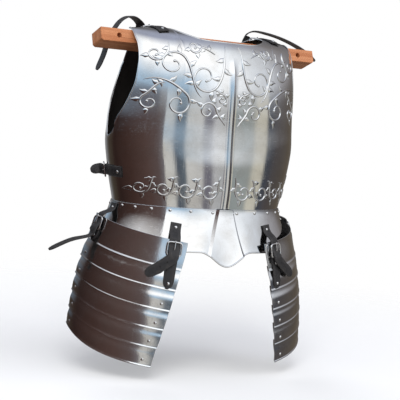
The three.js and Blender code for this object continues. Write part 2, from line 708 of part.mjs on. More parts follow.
// Straps that hang the tassets on the waist plate. start is where the strap begins below the waist, and
// a tail has its stops down the tasset with their drift round it in degrees.
const HANGING = [
  {
    kind: "front", angle: 29.5, start: 30, reach: 76,
    tail: [{ down: 52, drift: 5 }, { down: 76, drift: 13 }],
  },
  {
    kind: "hip", angle: 87, start: 4, reach: 36,
    tail: [{ down: 60, drift: 0 }, { down: 104, drift: -2 }],
  },
];
const BUCKLE_DOWN = 17;
const RIVET_FROM_END = 9;
const HELD_ON_WAIST = 15;
const HIP_TAIL = [
  { out: 0.26, back: 0.25, up: -0.59, way: [0.3, 0, 1] },
  { out: 1.76, back: 0.89, up: -1.09, way: [0.45, 0, 1] },
  { out: 3.44, back: 1.7, up: -2.09, way: [0.6, 0, 1] },
];

function hang(side, { kind, angle, start, reach, tail }) {
  const waist = mirrored(fauld, side);
  const face = mirrored(tasset, side);
  const place = (length, lift, drift = 0) =>
    on(face, radians(angle + drift), tassetShare(BUCKLE_DOWN + length), lift);
  const onWaist = (length, lift) => on(waist, radians(angle), (start + length) / FAULD_DROP, lift);
  const held = [onWaist(0, STRAP_LIFT), onWaist(HELD_ON_WAIST, STRAP_LIFT)];
  const lying = () => tail.map(({ down, drift }) => place(down - BUCKLE_DOWN, OVER_LIFT * 0.8, drift));
  const isFree = kind === "hip" && side < 0;
  const body = buckledStrap(place, held, isFree ? freeEnd(side, HIP_TAIL) : lying);
  const rivetPlaces = Array.from(
    { length: CHAPE_LAMES[kind] },
    (_, index) => rivetFall(index + 1) * TASSET_LENGTH_FRONT - BUCKLE_DOWN,
  );
  return {
    strapGeometry: fused(body, [rivet(onWaist(RIVET_FROM_END, STRAP_LIFT + LEATHER), LEATHER / 2)]),
    chapeGeometry: chape(place, reach, rivetPlaces),
    buckleGeometry: buckleAt(place),
  };
}

// Straps over the shoulders, from a rivet on the breastplate's tongue to a buckle on the backplate's.
// They are placed by the number of table rows below the crest, and the tail stands free.
const SHOULDER_ANGLE = 41;
const SHOULDER_HELD_ROWS = [2.4, 1.6, 0.8, 0.2];
const SHOULDER_RIVET_ROWS = 1.9;
const SHOULDER_FRAME_ROWS = 1.8;
const SHOULDER_ROW_LENGTH = 16;
const SHOULDER_BULGE = 2.4;
const SHOULDER_CHAPE_REACH = 46;
const SHOULDER_CHAPE_RIVET = 34;
const SHOULDER_TAILS = {
  left: [
    { out: 0.16, back: -0.15, up: 0.73, way: [-1, 0.5, 0.8] },
    { out: 1.39, back: -0.61, up: 1.23, way: [0, 0, 1] },
    { out: 2.52, back: -0.7, up: 0.64, way: [0.7, 0, 0.7] },
    { out: 3.34, back: -0.52, up: -0.99, way: [1, 0, 0.3] },
    { out: 3.75, back: -0.43, up: -2.54, way: [1, 0, 0.3] },
    { out: 4.25, back: -0.34, up: -3.9, way: [1, 0, 0.4] },
  ],
  right: [
    { out: -0.75, back: -0.15, up: 0.64, way: [-1, 0.5, 0.8] },
    { out: -0.2, back: -0.61, up: 1.23, way: [0, 0, 1] },
    { out: 1.16, back: -1.15, up: 1.1, way: [0.2, 0, 1] },
    { out: 2.98, back: -1.43, up: 0.69, way: [0.25, 0, 1] },
    { out: 5.25, back: -1.25, up: -0.04, way: [0.4, 0, 1] },
    { out: 7.16, back: -0.88, up: -0.99, way: [0.5, 0, 1] },
  ],
};

function overShoulder(name, side) {
  const face = mirrored(torso, side);
  const rowsDown = (rows) => 1 - rows / (TORSO.length - 1);
  const inFront = (rows, lift) => on(face, radians(SHOULDER_ANGLE), rowsDown(rows), lift);
  const behind = (rows, lift) =>
    on(face, radians(180 - SHOULDER_ANGLE), rowsDown(rows), lift + BACK_LIFT);
  const place = (length, lift) => behind(SHOULDER_FRAME_ROWS + length / SHOULDER_ROW_LENGTH, lift);
  const held = SHOULDER_HELD_ROWS.map((rows) => inFront(rows, STRAP_LIFT + SEAT));
  const body = buckledStrap(place, held, freeEnd(side, SHOULDER_TAILS[name]), SHOULDER_BULGE);
  const rivetPlace = inFront(SHOULDER_RIVET_ROWS, STRAP_LIFT + SEAT + LEATHER);
  return {
    strapGeometry: fused(body, [rivet(rivetPlace, LEATHER / 2)]),
    chapeGeometry: chape(place, SHOULDER_CHAPE_REACH, [SHOULDER_CHAPE_RIVET]),
    buckleGeometry: buckleAt(place),
  };
}

// Straps that close the plates at the sides, from the breastplate back to a buckle on the backplate.
const SIDE_RISE = 0.17;
const SIDE_HELD_ANGLES = [75, 79, 83, 88];
const SIDE_RIVET_ANGLE = 79;
const SIDE_FRAME_ANGLE = 108;
const SIDE_BULGE = 1.2;
const SIDE_CHAPE_REACH = 48;
const SIDE_CHAPE_RIVET = 36;
const SIDE_TAIL = [
  { out: 0.02, back: 0.81, up: -0.01, way: [1, 0.2, 0] },
  { out: 0.79, back: 1.17, up: -0.24, way: [0.6, -0.8, 0] },
];

function atSide(side) {
  const face = mirrored(torso, side);
  const track = trackAt(SIDE_RISE);
  const around = (angle, lift) => on(face, radians(angle), track, lift);
  const arc = (length) => (length / BACK_DEPTH) * THREE.MathUtils.RAD2DEG * 0.85;
  const place = (length, lift) => around(SIDE_FRAME_ANGLE + arc(length), lift + BACK_LIFT);
  const held = SIDE_HELD_ANGLES.map((angle) => around(angle, STRAP_LIFT));
  const body = buckledStrap(place, held, freeEnd(side, SIDE_TAIL), SIDE_BULGE);
  return {
    strapGeometry: fused(body, [rivet(around(SIDE_RIVET_ANGLE, STRAP_LIFT + LEATHER), LEATHER / 2)]),
    chapeGeometry: chape(place, SIDE_CHAPE_REACH, [SIDE_CHAPE_RIVET]),
    buckleGeometry: buckleAt(place),
  };
}

for (const { name, side } of SIDES) {
  for (const hanging of HANGING) addBuckled(`${name}_${hanging.kind}`, hang(side, hanging));
  addBuckled(`${name}_shoulder`, overShoulder(name, side));
  addBuckled(`${name}_side`, atSide(side));
}

// Wooden bar, tilted so that its front top edge carries the shoulders.
function hangingBar() {
  const outline = new THREE.Shape();
  const halfLength = BAR_LENGTH / 2;
  const halfHeight = BAR_HEIGHT / 2;
  outline.moveTo(-halfLength + BAR_CHAMFER, -halfHeight);
  outline.lineTo(halfLength - BAR_CHAMFER, -halfHeight);
  outline.lineTo(halfLength, -halfHeight + BAR_CHAMFER);
  outline.lineTo(halfLength, halfHeight);
  outline.lineTo(-halfLength, halfHeight);
  outline.lineTo(-halfLength, -halfHeight + BAR_CHAMFER);
  outline.closePath();
  for (const side of [-1, 1]) {
    const hole = new THREE.Path();
    hole.absarc(side * (halfLength - BAR_HOLE_INSET), 0, BAR_HOLE_RADIUS, 0, 2 * Math.PI);
    outline.holes.push(hole);
  }
  const options = { depth: BAR_DEPTH, bevelEnabled: false, curveSegments: 12 };
  const bar = new THREE.ExtrudeGeometry(outline, options);
  bar.translate(0, 0, -BAR_DEPTH / 2);
  bar.rotateX(Math.PI / 2);
  bar.rotateX(-radians(BAR_TILT));
  return toGeometry(toSolid(bar));
}

addPiece("hanging_bar", hangingBar(), woodFinish);

export default cuirass;
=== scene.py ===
"""Visual model of a steel cuirass with tassets, hung on a plain wooden bar.

Everything is in metres in the part's frame: the origin is the middle of the bar, +Z is up and the front
of the armour faces -Y. Left and right are as seen from the front.
"""
import math

import bmesh
import bpy
import numpy as np
from mathutils import Matrix, Vector
from mathutils.kdtree import KDTree


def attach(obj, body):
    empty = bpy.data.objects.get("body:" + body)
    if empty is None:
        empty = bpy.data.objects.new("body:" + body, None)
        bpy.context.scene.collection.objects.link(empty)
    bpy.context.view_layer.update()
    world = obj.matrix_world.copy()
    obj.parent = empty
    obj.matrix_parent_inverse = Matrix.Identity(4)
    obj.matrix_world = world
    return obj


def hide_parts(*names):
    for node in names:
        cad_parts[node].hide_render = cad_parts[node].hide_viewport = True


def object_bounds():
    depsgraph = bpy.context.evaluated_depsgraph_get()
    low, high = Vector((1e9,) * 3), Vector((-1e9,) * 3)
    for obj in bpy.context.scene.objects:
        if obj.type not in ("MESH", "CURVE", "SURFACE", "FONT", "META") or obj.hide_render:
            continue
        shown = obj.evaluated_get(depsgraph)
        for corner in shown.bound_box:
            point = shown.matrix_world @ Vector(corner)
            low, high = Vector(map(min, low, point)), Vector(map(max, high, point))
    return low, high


bl_info = {
    "name": "Steel Cuirass",
    "version": (1, 0, 0),
    "blender": (4, 5, 0),
    "location": "View3D > Sidebar > Cuirass",
    "description": "Builds a steel cuirass with tassets on a wooden bar over its CAD frame",
    "category": "Add Mesh",
}

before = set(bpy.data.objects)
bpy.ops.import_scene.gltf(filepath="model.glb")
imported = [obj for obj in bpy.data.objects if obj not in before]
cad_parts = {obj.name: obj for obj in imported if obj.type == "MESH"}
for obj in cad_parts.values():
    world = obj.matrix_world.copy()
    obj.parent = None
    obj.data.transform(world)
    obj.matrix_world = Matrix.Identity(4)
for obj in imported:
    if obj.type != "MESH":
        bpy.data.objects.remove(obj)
CAD_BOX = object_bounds()
BODY = "root"
MM = 0.001


def table(columns, *rows):
    """A table with named columns."""
    return np.array(list(rows), dtype=[(column, float) for column in columns.split()])


# Sections of the torso from the waist lip to the crest. rise is a share of the torso height above the
# waist, wide of the chest's half width, front and back of the two depths.
TORSO = table(
    "rise wide front back",
    (-0.03, 0.892, 0.968, 0.896),
    (0.0, 0.886, 0.962, 0.89),
    (0.11, 0.93, 0.992, 0.925),
    (0.23, 0.972, 0.99, 0.965),
    (0.345, 1.0, 0.97, 0.995),
    (0.46, 0.99, 0.955, 1.0),
    (0.57, 0.977, 0.95, 0.985),
    (0.67, 0.97, 0.94, 0.945),
    (0.76, 0.96, 0.915, 0.87),
    (0.84, 0.947, 0.87, 0.76),
    (0.905, 0.935, 0.79, 0.62),
    (0.952, 0.925, 0.66, 0.47),
    (0.982, 0.915, 0.46, 0.31),
    (0.996, 0.91, 0.24, 0.16),
    (1.0, 0.91, 0.05, 0.05),
)

# Half angle that the breastplate spans from its middle, in degrees, by rise.
FRONT_ARMHOLE = table(
    "rise angle",
    (-0.03, 84), (0.43, 84), (0.465, 82), (0.52, 76), (0.59, 70.3), (0.69, 65), (0.79, 64.2), (0.9, 67),
    (0.955, 71), (1.0, 73),
)

# Neckline of the breastplate: the rise of its edge by share of the way out to the armhole.
FRONT_NECK = table(
    "across rise",
    (0.0, 0.937), (0.14, 0.937), (0.24, 0.942), (0.33, 0.958), (0.4, 0.977), (0.44, 0.993), (0.455, 1.0),
)

# Top edge of the backplate by angle from its middle: neckline and shoulder, then the armhole.
BACK_NECK = table(
    "angle rise",
    (0, 0.905), (14, 0.91), (24, 0.935), (29, 0.97), (31, 1.0), (51, 1.0),
)
BACK_ARMHOLE = table(
    "angle rise",
    (51.2, 0.8), (54, 0.72), (60, 0.625), (66, 0.56), (71.4, 0.49), (78, 0.418), (85, 0.362), (91, 0.38),
    (97, 0.435), (101, 0.47),
)

# Tasset sections from top to bottom: wide and deep are shares of how far it stands out past the waist
# plate's hem, to the side and forward, and from and to are the angles of its front and side edges.
TASSET = table(
    "wide deep from to",
    (-0.116, 0.49, 22, 94),
    (0.306, 0.86, 24, 95),
    (0.653, 1.0, 26, 96),
    (0.873, 0.81, 28.5, 96),
    (1.0, 0.35, 31, 96),
)

# Volutes of the raised scrollwork: the eye as shares of the chest's half width and of the torso height
# above the waist, the outer radius as a share of the half width, the turns, where the outer end starts in
# degrees from the way out, and the root that its stem grows from, with the stem's first heading.
SCROLLS = table(
    "out up radius turns start root_out root_up heading",
    (0.3, 0.73, 0.15, 1.15, 200, 0.075, 0.915, 285),
    (0.6, 0.79, 0.13, -1.15, 160, 0.33, 0.615, 40),
    (0.55, 0.575, 0.12, 1.15, 120, 0.84, 0.69, 150),
    (0.26, 0.545, 0.09, -1.1, 170, 0.07, 0.47, 60),
    (0.79, 0.57, 0.075, -1.1, 60, 0.66, 0.68, 20),
    (0.75, 0.845, 0.07, 1.1, 210, 0.64, 0.92, 250),
    (0.4, 0.895, 0.062, 1.1, 200, 0.2, 0.86, 30),
    (0.12, 0.615, 0.05, 1.1, 90, 0.2, 0.66, 160),
    (0.19, 0.1, 0.085, 1.15, 200, 0.08, 0.185, 300),
    (0.42, 0.1, 0.085, 1.15, 200, 0.27, 0.17, 20),
    (0.62, 0.1, 0.07, 1.15, 200, 0.5, 0.17, 20),
    (0.8, 0.1, 0.06, 1.15, 200, 0.69, 0.16, 20),
)

# Leaves along a stem and round its volute: place as a share of the way, and the side they spring to.
STEM_LEAVES = [(0.3, 1), (0.55, -1), (0.8, 1)]
VOLUTE_LEAVES = [0.08, 0.3]
# Degrees by which a leaf leaves its stem and bends on, its length as a share of the volute's radius and as
# a length added to that, and its width as a share of a stem's.
LEAF_SPREAD, LEAF_BEND = 30, 60
LEAF_SHARE, LEAF_ADDED, LEAF_WIDTH = 0.62, 0.035, 2.3
# What a volute loses from its outer end to its eye: of its radius, width and height.
VOLUTE_CLOSES, VOLUTE_NARROWS, VOLUTE_SINKS = 0.76, 0.42, 0.3

# A lame ends at a share of the tasset's length.
LAME_ENDS = [0.222, 0.386, 0.548, 0.7, 0.848, 1]
# How far a lame is tucked in under the one above, by share of the way down it.
LAME_TUCK = table(
    "down lift",
    (0.0, -1.0), (0.2, -0.97), (0.34, -0.72), (0.5, -0.1), (0.6, 0.0), (1.0, 0.0),
)

# Straps that hang the tassets. start is where the strap begins below the waist, and a tail has its stops
# down the tasset with their drift round it in degrees. Lengths in millimetres.
HANGING = [
    {"kind": "front", "angle": 29.5, "start": 30, "reach": 76, "lames": 2, "tail": [(52, 5), (76, 13)]},
    {"kind": "hip", "angle": 87, "start": 4, "reach": 36, "lames": 1, "tail": [(60, 0), (104, -2)]},
]

# Free ends of straps: how far out, back and up each place lies from where the strap leaves its buckle, in
# strap widths, and the way out of the leather there.
HIP_TAIL = [
    ((0.26, 0.25, -0.59), (0.3, 0, 1)),
    ((1.76, 0.89, -1.09), (0.45, 0, 1)),
    ((3.44, 1.7, -2.09), (0.6, 0, 1)),
]
SHOULDER_TAILS = {
    "left": [
        ((0.16, -0.15, 0.73), (-1, 0.5, 0.8)),
        ((1.39, -0.61, 1.23), (0, 0, 1)),
        ((2.52, -0.7, 0.64), (0.7, 0, 0.7)),
        ((3.34, -0.52, -0.99), (1, 0, 0.3)),
        ((3.75, -0.43, -2.54), (1, 0, 0.3)),
        ((4.25, -0.34, -3.9), (1, 0, 0.4)),
    ],
    "right": [
        ((-0.75, -0.15, 0.64), (-1, 0.5, 0.8)),
        ((-0.2, -0.61, 1.23), (0, 0, 1)),
        ((1.16, -1.15, 1.1), (0.2, 0, 1)),
        ((2.98, -1.43, 0.69), (0.25, 0, 1)),
        ((5.25, -1.25, -0.04), (0.4, 0, 1)),
        ((7.16, -0.88, -0.99), (0.5, 0, 1)),
    ],
}
SIDE_TAIL = [((0.02, 0.81, -0.01), (1, 0.2, 0)), ((0.79, 1.17, -0.24), (0.6, -0.8, 0))]

SIDES = {"left": -1, "right": 1}


def length(name, description, default):
    """A property for a length."""
    return bpy.props.FloatProperty(
        name=name, description=description, default=default, unit="LENGTH", precision=4
    )


def colour(name, description, default):
    """A property for a colour."""
    return bpy.props.FloatVectorProperty(
        name=name, description=description, default=default, subtype="COLOR", min=0, max=1
    )


class TorsoSizes(bpy.types.PropertyGroup):
    """Sizes of the breastplate and backplate."""

    crest: length("Crest", "Height of the shoulders above the bar's middle", 0.034)
    height: length("Height", "From the waist to the crest", 0.356)
    half_width: length("Half width", "Half the width of the chest", 0.211)
    front_depth: length("Front depth", "From the middle of the side to the front", 0.123)
    back_depth: length("Back depth", "From the middle of the side to the back", 0.127)
    shoulder_fall: length("Shoulder fall", "How far the shoulders slope down outwards", 0.0091)
    steel: length("Steel", "Thickness of the plates", 0.0015)
    gap: length("Gap", "Space between lapped plates", 0.0012)
    keel_height: length("Keel height", "How far the keel stands out", 0.0034)
    keel_half_width: length("Keel half width", "Half the width of the keel", 0.012)
    rim: length("Rim", "Radius of the turned rims", 0.0017)
    scroll_width: length("Scroll width", "Width of the raised scrollwork", 0.0052)
    scroll_height: length("Scroll height", "Height of the raised scrollwork", 0.0019)
    squareness: bpy.props.FloatProperty(
        name="Squareness", description="Power of the rounded sections; 2 is an ellipse", default=2.2
    )


class WaistSizes(bpy.types.PropertyGroup):
    """Sizes of the waist plates."""

    drop: length("Drop", "From the waist to the level hem", 0.084)
    flare_side: length("Side flare", "How far the hem stands out at the sides", 0.035)
    flare_front: length("Front flare", "How far the hem stands out in front", 0.02)
    dip: length("Dip", "How far the hem dips in the middle", 0.028)
    dip_half_width: length("Dip half width", "Half the width of the dip", 0.06)
    flute_top: length("Flute top", "Half the width of the middle flute at the waist", 0.015)
    flute_bottom: length("Flute bottom", "Half the width of the middle flute at the hem", 0.038)
    flute_edge: length("Flute edge", "Width of the step beside the flute", 0.005)
    flute_height: length("Flute height", "How far the flute stands out", 0.0045)


class TassetSizes(bpy.types.PropertyGroup):
    """Sizes of the tassets."""

    below_front: length("Front start", "How far below the waist the front edge starts", 0.066)
    below_side: length("Side start", "How far below the waist the side edge starts", 0.026)
    length_front: length("Front length", "Length of the front edge", 0.249)
    length_side: length("Side length", "Length of the side edge", 0.224)
    stand_out: length("Stand out", "How far the tassets stand out past the hem at the side", 0.0424)
    stand_forward: length("Stand forward", "How far they stand out past the hem in front", 0.017)
    overlap: length("Overlap", "How far a lame runs under the one above", 0.011)
    step: length("Step", "How far a lame lies inside the one above", 0.0024)


class TrimSizes(bpy.types.PropertyGroup):
    """Sizes of the straps, buckles and rivets."""

    leather: length("Leather", "Thickness of the straps", 0.0026)
    strap_width: length("Strap width", "Width of the straps", 0.022)
    wire: length("Wire", "Radius of the buckles' wire", 0.0016)
    buckle_width: length("Buckle width", "Width of a buckle", 0.032)
    buckle_length: length("Buckle length", "Length of a buckle", 0.03)
    rivet: length("Rivet", "Radius of the rivet heads", 0.0034)
    hole: length("Hole", "Radius of the holes in the straps", 0.0015)
    dome: bpy.props.FloatProperty(
        name="Dome", description="Height of a rivet head as a share of its radius", default=0.6,
        subtype="FACTOR", min=0, max=1,
    )


class FinishColours(bpy.types.PropertyGroup):
    """Colours of the finishes."""

    steel: colour("Steel", "Polished steel", (0.74, 0.755, 0.77))
    tarnish: colour("Tarnish", "Handled patches of the steel", (0.6, 0.59, 0.575))
    # inside: a near-black tone on the plates' inner faces.
    inside: colour("Inside", "Near-black inside of the plates", (0.018, 0.018, 0.019))
    leather: colour("Leather", "Black leather", (0.012, 0.012, 0.014))
    wood: colour("Wood", "Light grain of the bar", (0.62, 0.27, 0.12))
    dark_wood: colour("Dark wood", "Dark grain of the bar", (0.36, 0.12, 0.045))
    floor: colour("Floor", "Studio floor", (0.86, 0.86, 0.86))


class CuirassSettings(bpy.types.PropertyGroup):
    """All sizes and colours of the cuirass."""

    torso: bpy.props.PointerProperty(type=TorsoSizes, name="Torso", description="Torso plates")
    waist: bpy.props.PointerProperty(type=WaistSizes, name="Waist", description="Waist plates")
    tasset: bpy.props.PointerProperty(type=TassetSizes, name="Tassets", description="Tassets")
    trim: bpy.props.PointerProperty(type=TrimSizes, name="Trim", description="Straps, buckles and rivets")
    finish: bpy.props.PointerProperty(type=FinishColours, name="Finish", description="Colours")


# Curves and faces


def hermite(t, here, there, slope_here, slope_there):
    """Smooth curve from one value to the next, with the slopes given at both."""
    return (
        (2 * t**3 - 3 * t**2 + 1) * here
        + (t**3 - 2 * t**2 + t) * slope_here
        + (3 * t**2 - 2 * t**3) * there
        + (t**3 - t**2) * slope_there
    )


def smooth(values, share):
    """Smooth curve through evenly spaced values or points, at shares of their number."""
    values = np.asarray(values, float)
    last = len(values) - 1
    place = np.clip(np.asarray(share, float), 0, 1) * last
    row = np.minimum(place.astype(int), last - 1)
    t = place - row
    if values.ndim > 1:
        t = t[..., None]
    here, there = values[row], values[row + 1]
    slope_here = (there - values[np.maximum(row - 1, 0)]) / 2
    slope_there = (values[np.minimum(row + 2, last)] - here) / 2
    return hermite(t, here, there, slope_here, slope_there)


def even_curve(table, by, column, value):
    """Curve through one column of a table by another, with no overshoot."""
    xs, ys = table[by], table[column]
    steps = np.diff(ys) / np.diff(xs)
    slopes = np.zeros(len(xs))
    same_way = steps[1:] * steps[:-1] > 0
    slopes[1:-1] = np.where(same_way, 2 * steps[1:] * steps[:-1] / (steps[1:] + steps[:-1] + 1e-12), 0)
    value = np.clip(value, xs[0], xs[-1])
    row = np.clip(np.searchsorted(xs, value) - 1, 0, len(xs) - 2)
    width = xs[row + 1] - xs[row]
    t = (value - xs[row]) / width
    return hermite(t, ys[row], ys[row + 1], width * slopes[row], width * slopes[row + 1])


def smoothstep(value, low, high):
    t = np.clip((value - low) / (high - low), 0, 1)
    return t * t * (3 - 2 * t)


def signed_power(value, power):
    return np.sign(value) * np.abs(value) ** power


TRACKS = np.linspace(0, 1, 4001)
RISES = smooth(TORSO["rise"], TRACKS)


def track_at(rise):
    """Share of the torso table at which a rise is reached."""
    return np.interp(rise, RISES, TRACKS)


def section(s, angle, half_width, front, back):
    """A point of a rounded section: angle 0 is the front, +90 degrees is +X."""
    depth = np.where(np.cos(angle) > 0, front, back)
    power = 2 / s.torso.squareness
    return half_width * signed_power(np.sin(angle), power), -depth * signed_power(np.cos(angle), power)


def torso(s, angle, track):
    """Outer face of the torso. Its shoulders fall away to the sides."""
    t = s.torso
    rise = smooth(TORSO["rise"], track)
    half_width = t.half_width * smooth(TORSO["wide"], track)
    front = t.front_depth * smooth(TORSO["front"], track)
    back = t.back_depth * smooth(TORSO["back"], track)
    x, y = section(s, angle, half_width, front, back)
    keel = t.keel_height * np.clip(1 - np.abs(x) / t.keel_half_width, 0, 1) ** 2
    keel = np.where(np.cos(angle) > 0, keel, 0) * smoothstep(0.86 - rise, 0, 0.1)
    fall = t.shoulder_fall * smoothstep(rise, 0.7, 1) * np.abs(x / half_width) ** 3
    return np.stack([x, y - keel, t.crest - t.height + rise * t.height - fall], -1)


# The waist plates flare more and more towards the hem.
FLARE_POWER = 1.3


def waist_half_width(s, fall):
    t = s.torso
    flare = s.waist.flare_side * signed_power(fall, FLARE_POWER)
    return t.half_width * TORSO["wide"][1] + t.steel + t.gap + flare


def waist_front(s, fall):
    t = s.torso
    flare = s.waist.flare_front * signed_power(fall, FLARE_POWER)
    return t.front_depth * TORSO["front"][1] + t.steel + t.gap + flare


def flute_half_width(s, fall):
    return s.waist.flute_top + (s.waist.flute_bottom - s.waist.flute_top) * fall


def waist(s, angle, fall):
    """Outer face of the waist plates, from the waist down to the hem."""
    t, w = s.torso, s.waist
    back = t.back_depth * TORSO["back"][1] + t.steel + t.gap + w.flare_front * signed_power(fall, FLARE_POWER)
    x, y = section(s, angle, waist_half_width(s, fall), waist_front(s, fall), back)
    is_front = np.cos(angle) > 0
    beyond = (np.abs(x) - flute_half_width(s, fall)) / w.flute_edge
    ridge = np.where(is_front, w.flute_height * (1 - np.clip(beyond, 0, 1)), 0)
    dip = np.clip(1 - np.abs(x) / w.dip_half_width, 0, 1)
    drop = np.where(is_front, w.dip * fall * (1 - np.cos(np.pi * dip)) / 2, 0)
    return np.stack([x, y - ridge, t.crest - t.height - fall * w.drop - drop], -1)


def tasset_edge(fall, is_side):
    return smooth(TASSET["to" if is_side else "from"], fall)


def tasset(s, angle, fall):
    """Outer face of the right tasset. Its top and bottom edges rise towards the hip."""
    t = s.tasset
    depth = waist_front(s, 1.0) + t.stand_forward * smooth(TASSET["deep"], fall)
    half_width = waist_half_width(s, 1.0) + t.stand_out * smooth(TASSET["wide"], fall)
    x, y = section(s, angle, half_width, depth, depth)
    start, end = np.radians(tasset_edge(fall, False)), np.radians(tasset_edge(fall, True))
    side = np.clip((angle - start) / (end - start), 0, 1)
    top = s.torso.crest - s.torso.height - t.below_front - (t.below_side - t.below_front) * side
    drop = t.length_front + (t.length_side - t.length_front) * side**2
    return np.stack([x, y, top - fall * drop], -1)


def face_of(shape, s, side=1):
    """A face as a function of angle and place alone, mirrored for side -1."""
    return lambda angle, along: shape(s, np.asarray(angle, float), np.asarray(along, float)) * [side, 1, 1]


def unit(vectors):
    return vectors / np.maximum(np.linalg.norm(vectors, axis=-1, keepdims=True), 1e-12)


def outward(s, face, angle, along):
    """The way out of a face, from two small steps along it."""
    step = 1e-4
    way = unit(
        np.cross(
            face(angle + step, along) - face(angle - step, along),
            face(angle, along + step) - face(angle, along - step),
        )
    )
    place = face(angle, along)
    up = 0.4 * way[..., 2] * s.torso.height * (place[..., 2] > 0)
    is_out = way[..., 0] * place[..., 0] + way[..., 1] * place[..., 1] + up > 0
    return np.where(is_out[..., None], way, -way)


def on(s, face, angle, along, lift=0.0):
    """Places on a face, lifted off it, with the ways out there."""
    angle, along = np.broadcast_arrays(np.asarray(angle, float), np.asarray(along, float))
    out = outward(s, face, angle, along)
    return face(angle, along) + out * np.asarray(lift, float)[..., None], out


# Meshes


class Shape:
    """Points, faces and the faces' material numbers of a mesh in the making."""

    def __init__(self, *parts):
        self.points, self.faces, self.slots = [], [], []
        self.count = 0
        for part in parts:
            self.add(*part)

    def add(self, points, faces, slots=None):
        self.points.append(np.asarray(points, float))
        self.faces += [tuple(index + self.count for index in face) for face in faces]
        self.slots += list(slots) if slots is not None else [0] * len(faces)
        self.count += len(points)


def turned_out(points, faces):
    """The faces of a closed shape, all turned over if they point in."""
    volume = 0.0
    for face in faces:
        a = points[face[0]]
        for second, third in zip(face[1:-1], face[2:]):
            volume += np.dot(a, np.cross(points[second], points[third]))
    return [face[::-1] for face in faces] if volume < 0 else faces


# How much the plates' edges are rounded.
EDGE_RADIUS = 0.4 * MM


def make_piece(name, shape, materials, node_names=(), crease=30, bevel=0.0, wear=False):
    """A finished piece from a shape: it stands for the CAD nodes and rides on the body."""
    mesh = bpy.data.meshes.new(name)
    points = np.concatenate(shape.points)
    mesh.from_pydata(points.tolist(), [], shape.faces)
    for material in materials:
        mesh.materials.append(material)
    mesh.polygons.foreach_set("material_index", np.array(shape.slots, dtype=np.int32))
    mesh.polygons.foreach_set("use_smooth", np.ones(len(shape.faces), dtype=bool))
    mesh.set_sharp_from_angle(angle=math.radians(crease))
    if wear:
        add_edge_attribute(mesh)
    mesh.update()
    piece = add_object(name, mesh)
    if bevel:
        round_edges(piece, bevel, 2, 55)
    finish_piece(piece, node_names)
    return piece


def steel_piece(name, shape, node_name, crease=30):
    """A steel plate with a near-black inside, in place of one CAD node."""
    finishes = [material("Polished steel"), material("Near-black inside")]
    make_piece(name, shape, finishes, [node_name], crease, EDGE_RADIUS, True)


def leather_piece(name, shape, node_name):
    """A leather in place of one CAD node."""
    make_piece(name, shape, [material("Black strap leather")], [node_name], 40, 0, True)


def steel_trim(name, shape, crease, wear):
    """Steel trim that rides on a plate and stands for no CAD node."""
    make_piece(name, shape, [material("Polished steel")], (), crease, 0, wear)


def add_object(name, data):
    """A new object in the scene."""
    made = bpy.data.objects.new(name, data)
    bpy.context.scene.collection.objects.link(made)
    return made


def round_edges(piece, width, segments, angle):
    rounding = piece.modifiers.new("Rounded edges", "BEVEL")
    rounding.width, rounding.segments, rounding.limit_method = width, segments, "ANGLE"
    rounding.angle_limit = math.radians(angle)


def finish_piece(piece, node_names):
    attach(piece, BODY)
    if node_names:
        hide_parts(*node_names)


# How far the wear reaches in from a sharp edge.
WEAR_REACH = 4 * MM


def add_edge_attribute(mesh):
    """Stores how near each point is to a sharp edge, for the wear along the edges."""
    sharp = {index for edge in mesh.edges if edge.use_edge_sharp for index in edge.vertices}
    tree = KDTree(max(len(sharp), 1))
    for index in sharp:
        tree.insert(mesh.vertices[index].co, index)
    tree.balance()
    near = np.zeros(len(mesh.vertices), dtype=np.float32)
    if sharp:
        for vertex in mesh.vertices:
            near[vertex.index] = math.exp(-tree.find(vertex.co)[2] / WEAR_REACH)
    mesh.attributes.new("edge_nearness", "FLOAT", "POINT").data.foreach_set("value", near)


def wall(points, outs, thickness, keep=None):
    """A plate over a grid of places: outer face, inner face and edge. keep says which cells it has."""
    columns, rows = points.shape[:2]
    keep = np.ones((columns - 1, rows - 1), bool) if keep is None else keep
    size = columns * rows
    both = np.concatenate([points.reshape(-1, 3), (points - outs * thickness).reshape(-1, 3)])
    faces, slots, edges = [], [], {}
    for i, j in np.argwhere(keep):
        a = int(i * rows + j)
        cell = (a, a + rows, a + rows + 1, a + 1)
        faces += [cell, tuple(index + size for index in reversed(cell))]
        slots += [0, 1]
        for corner, start in enumerate(cell):
            end = cell[(corner + 1) % 4]
            if edges.pop((end, start), None) is None:
                edges[(start, end)] = True
    for start, end in edges:
        faces.append((end, start, start + size, end + size))
        slots.append(0)
    used = np.zeros(2 * size, bool)
    used[np.array([index for face in faces for index in face])] = True
    order = np.cumsum(used) - 1
    faces = [tuple(int(order[index]) for index in face) for face in faces]
    return both[used], turned_out(both[used], faces), slots


def sweep(points, ups, profile, widths, heights, is_ring=False):
    """A closed profile of (across, up) shares swept along places, with ends capped."""
    points, ups = np.asarray(points, float), unit(np.asarray(ups, float))
    if is_ring:
        along = np.roll(points, -1, 0) - np.roll(points, 1, 0)
    else:
        along = np.gradient(points, axis=0)
    along = unit(along)
    across = unit(np.cross(along, ups))
    up = unit(np.cross(across, along))
    profile = np.asarray(profile, float)
    widths = np.broadcast_to(widths, len(points))[:, None, None]
    heights = np.broadcast_to(heights, len(points))[:, None, None]
    rings = (
        points[:, None]
        + across[:, None] * profile[None, :, :1] * widths
        + up[:, None] * profile[None, :, 1:] * heights
    )
    count, sides = rings.shape[:2]
    faces = []
    for i in range(count if is_ring else count - 1):
        for corner in range(sides):
            beside = (corner + 1) % sides
            following = (i + 1) % count
            here, there = i * sides, following * sides
            faces.append((here + corner, here + beside, there + beside, there + corner))
    if not is_ring:
        faces.append(tuple(range(sides))[::-1])
        faces.append(tuple((count - 1) * sides + corner for corner in range(sides)))
    flat = rings.reshape(-1, 3)
    return flat, turned_out(flat, faces)


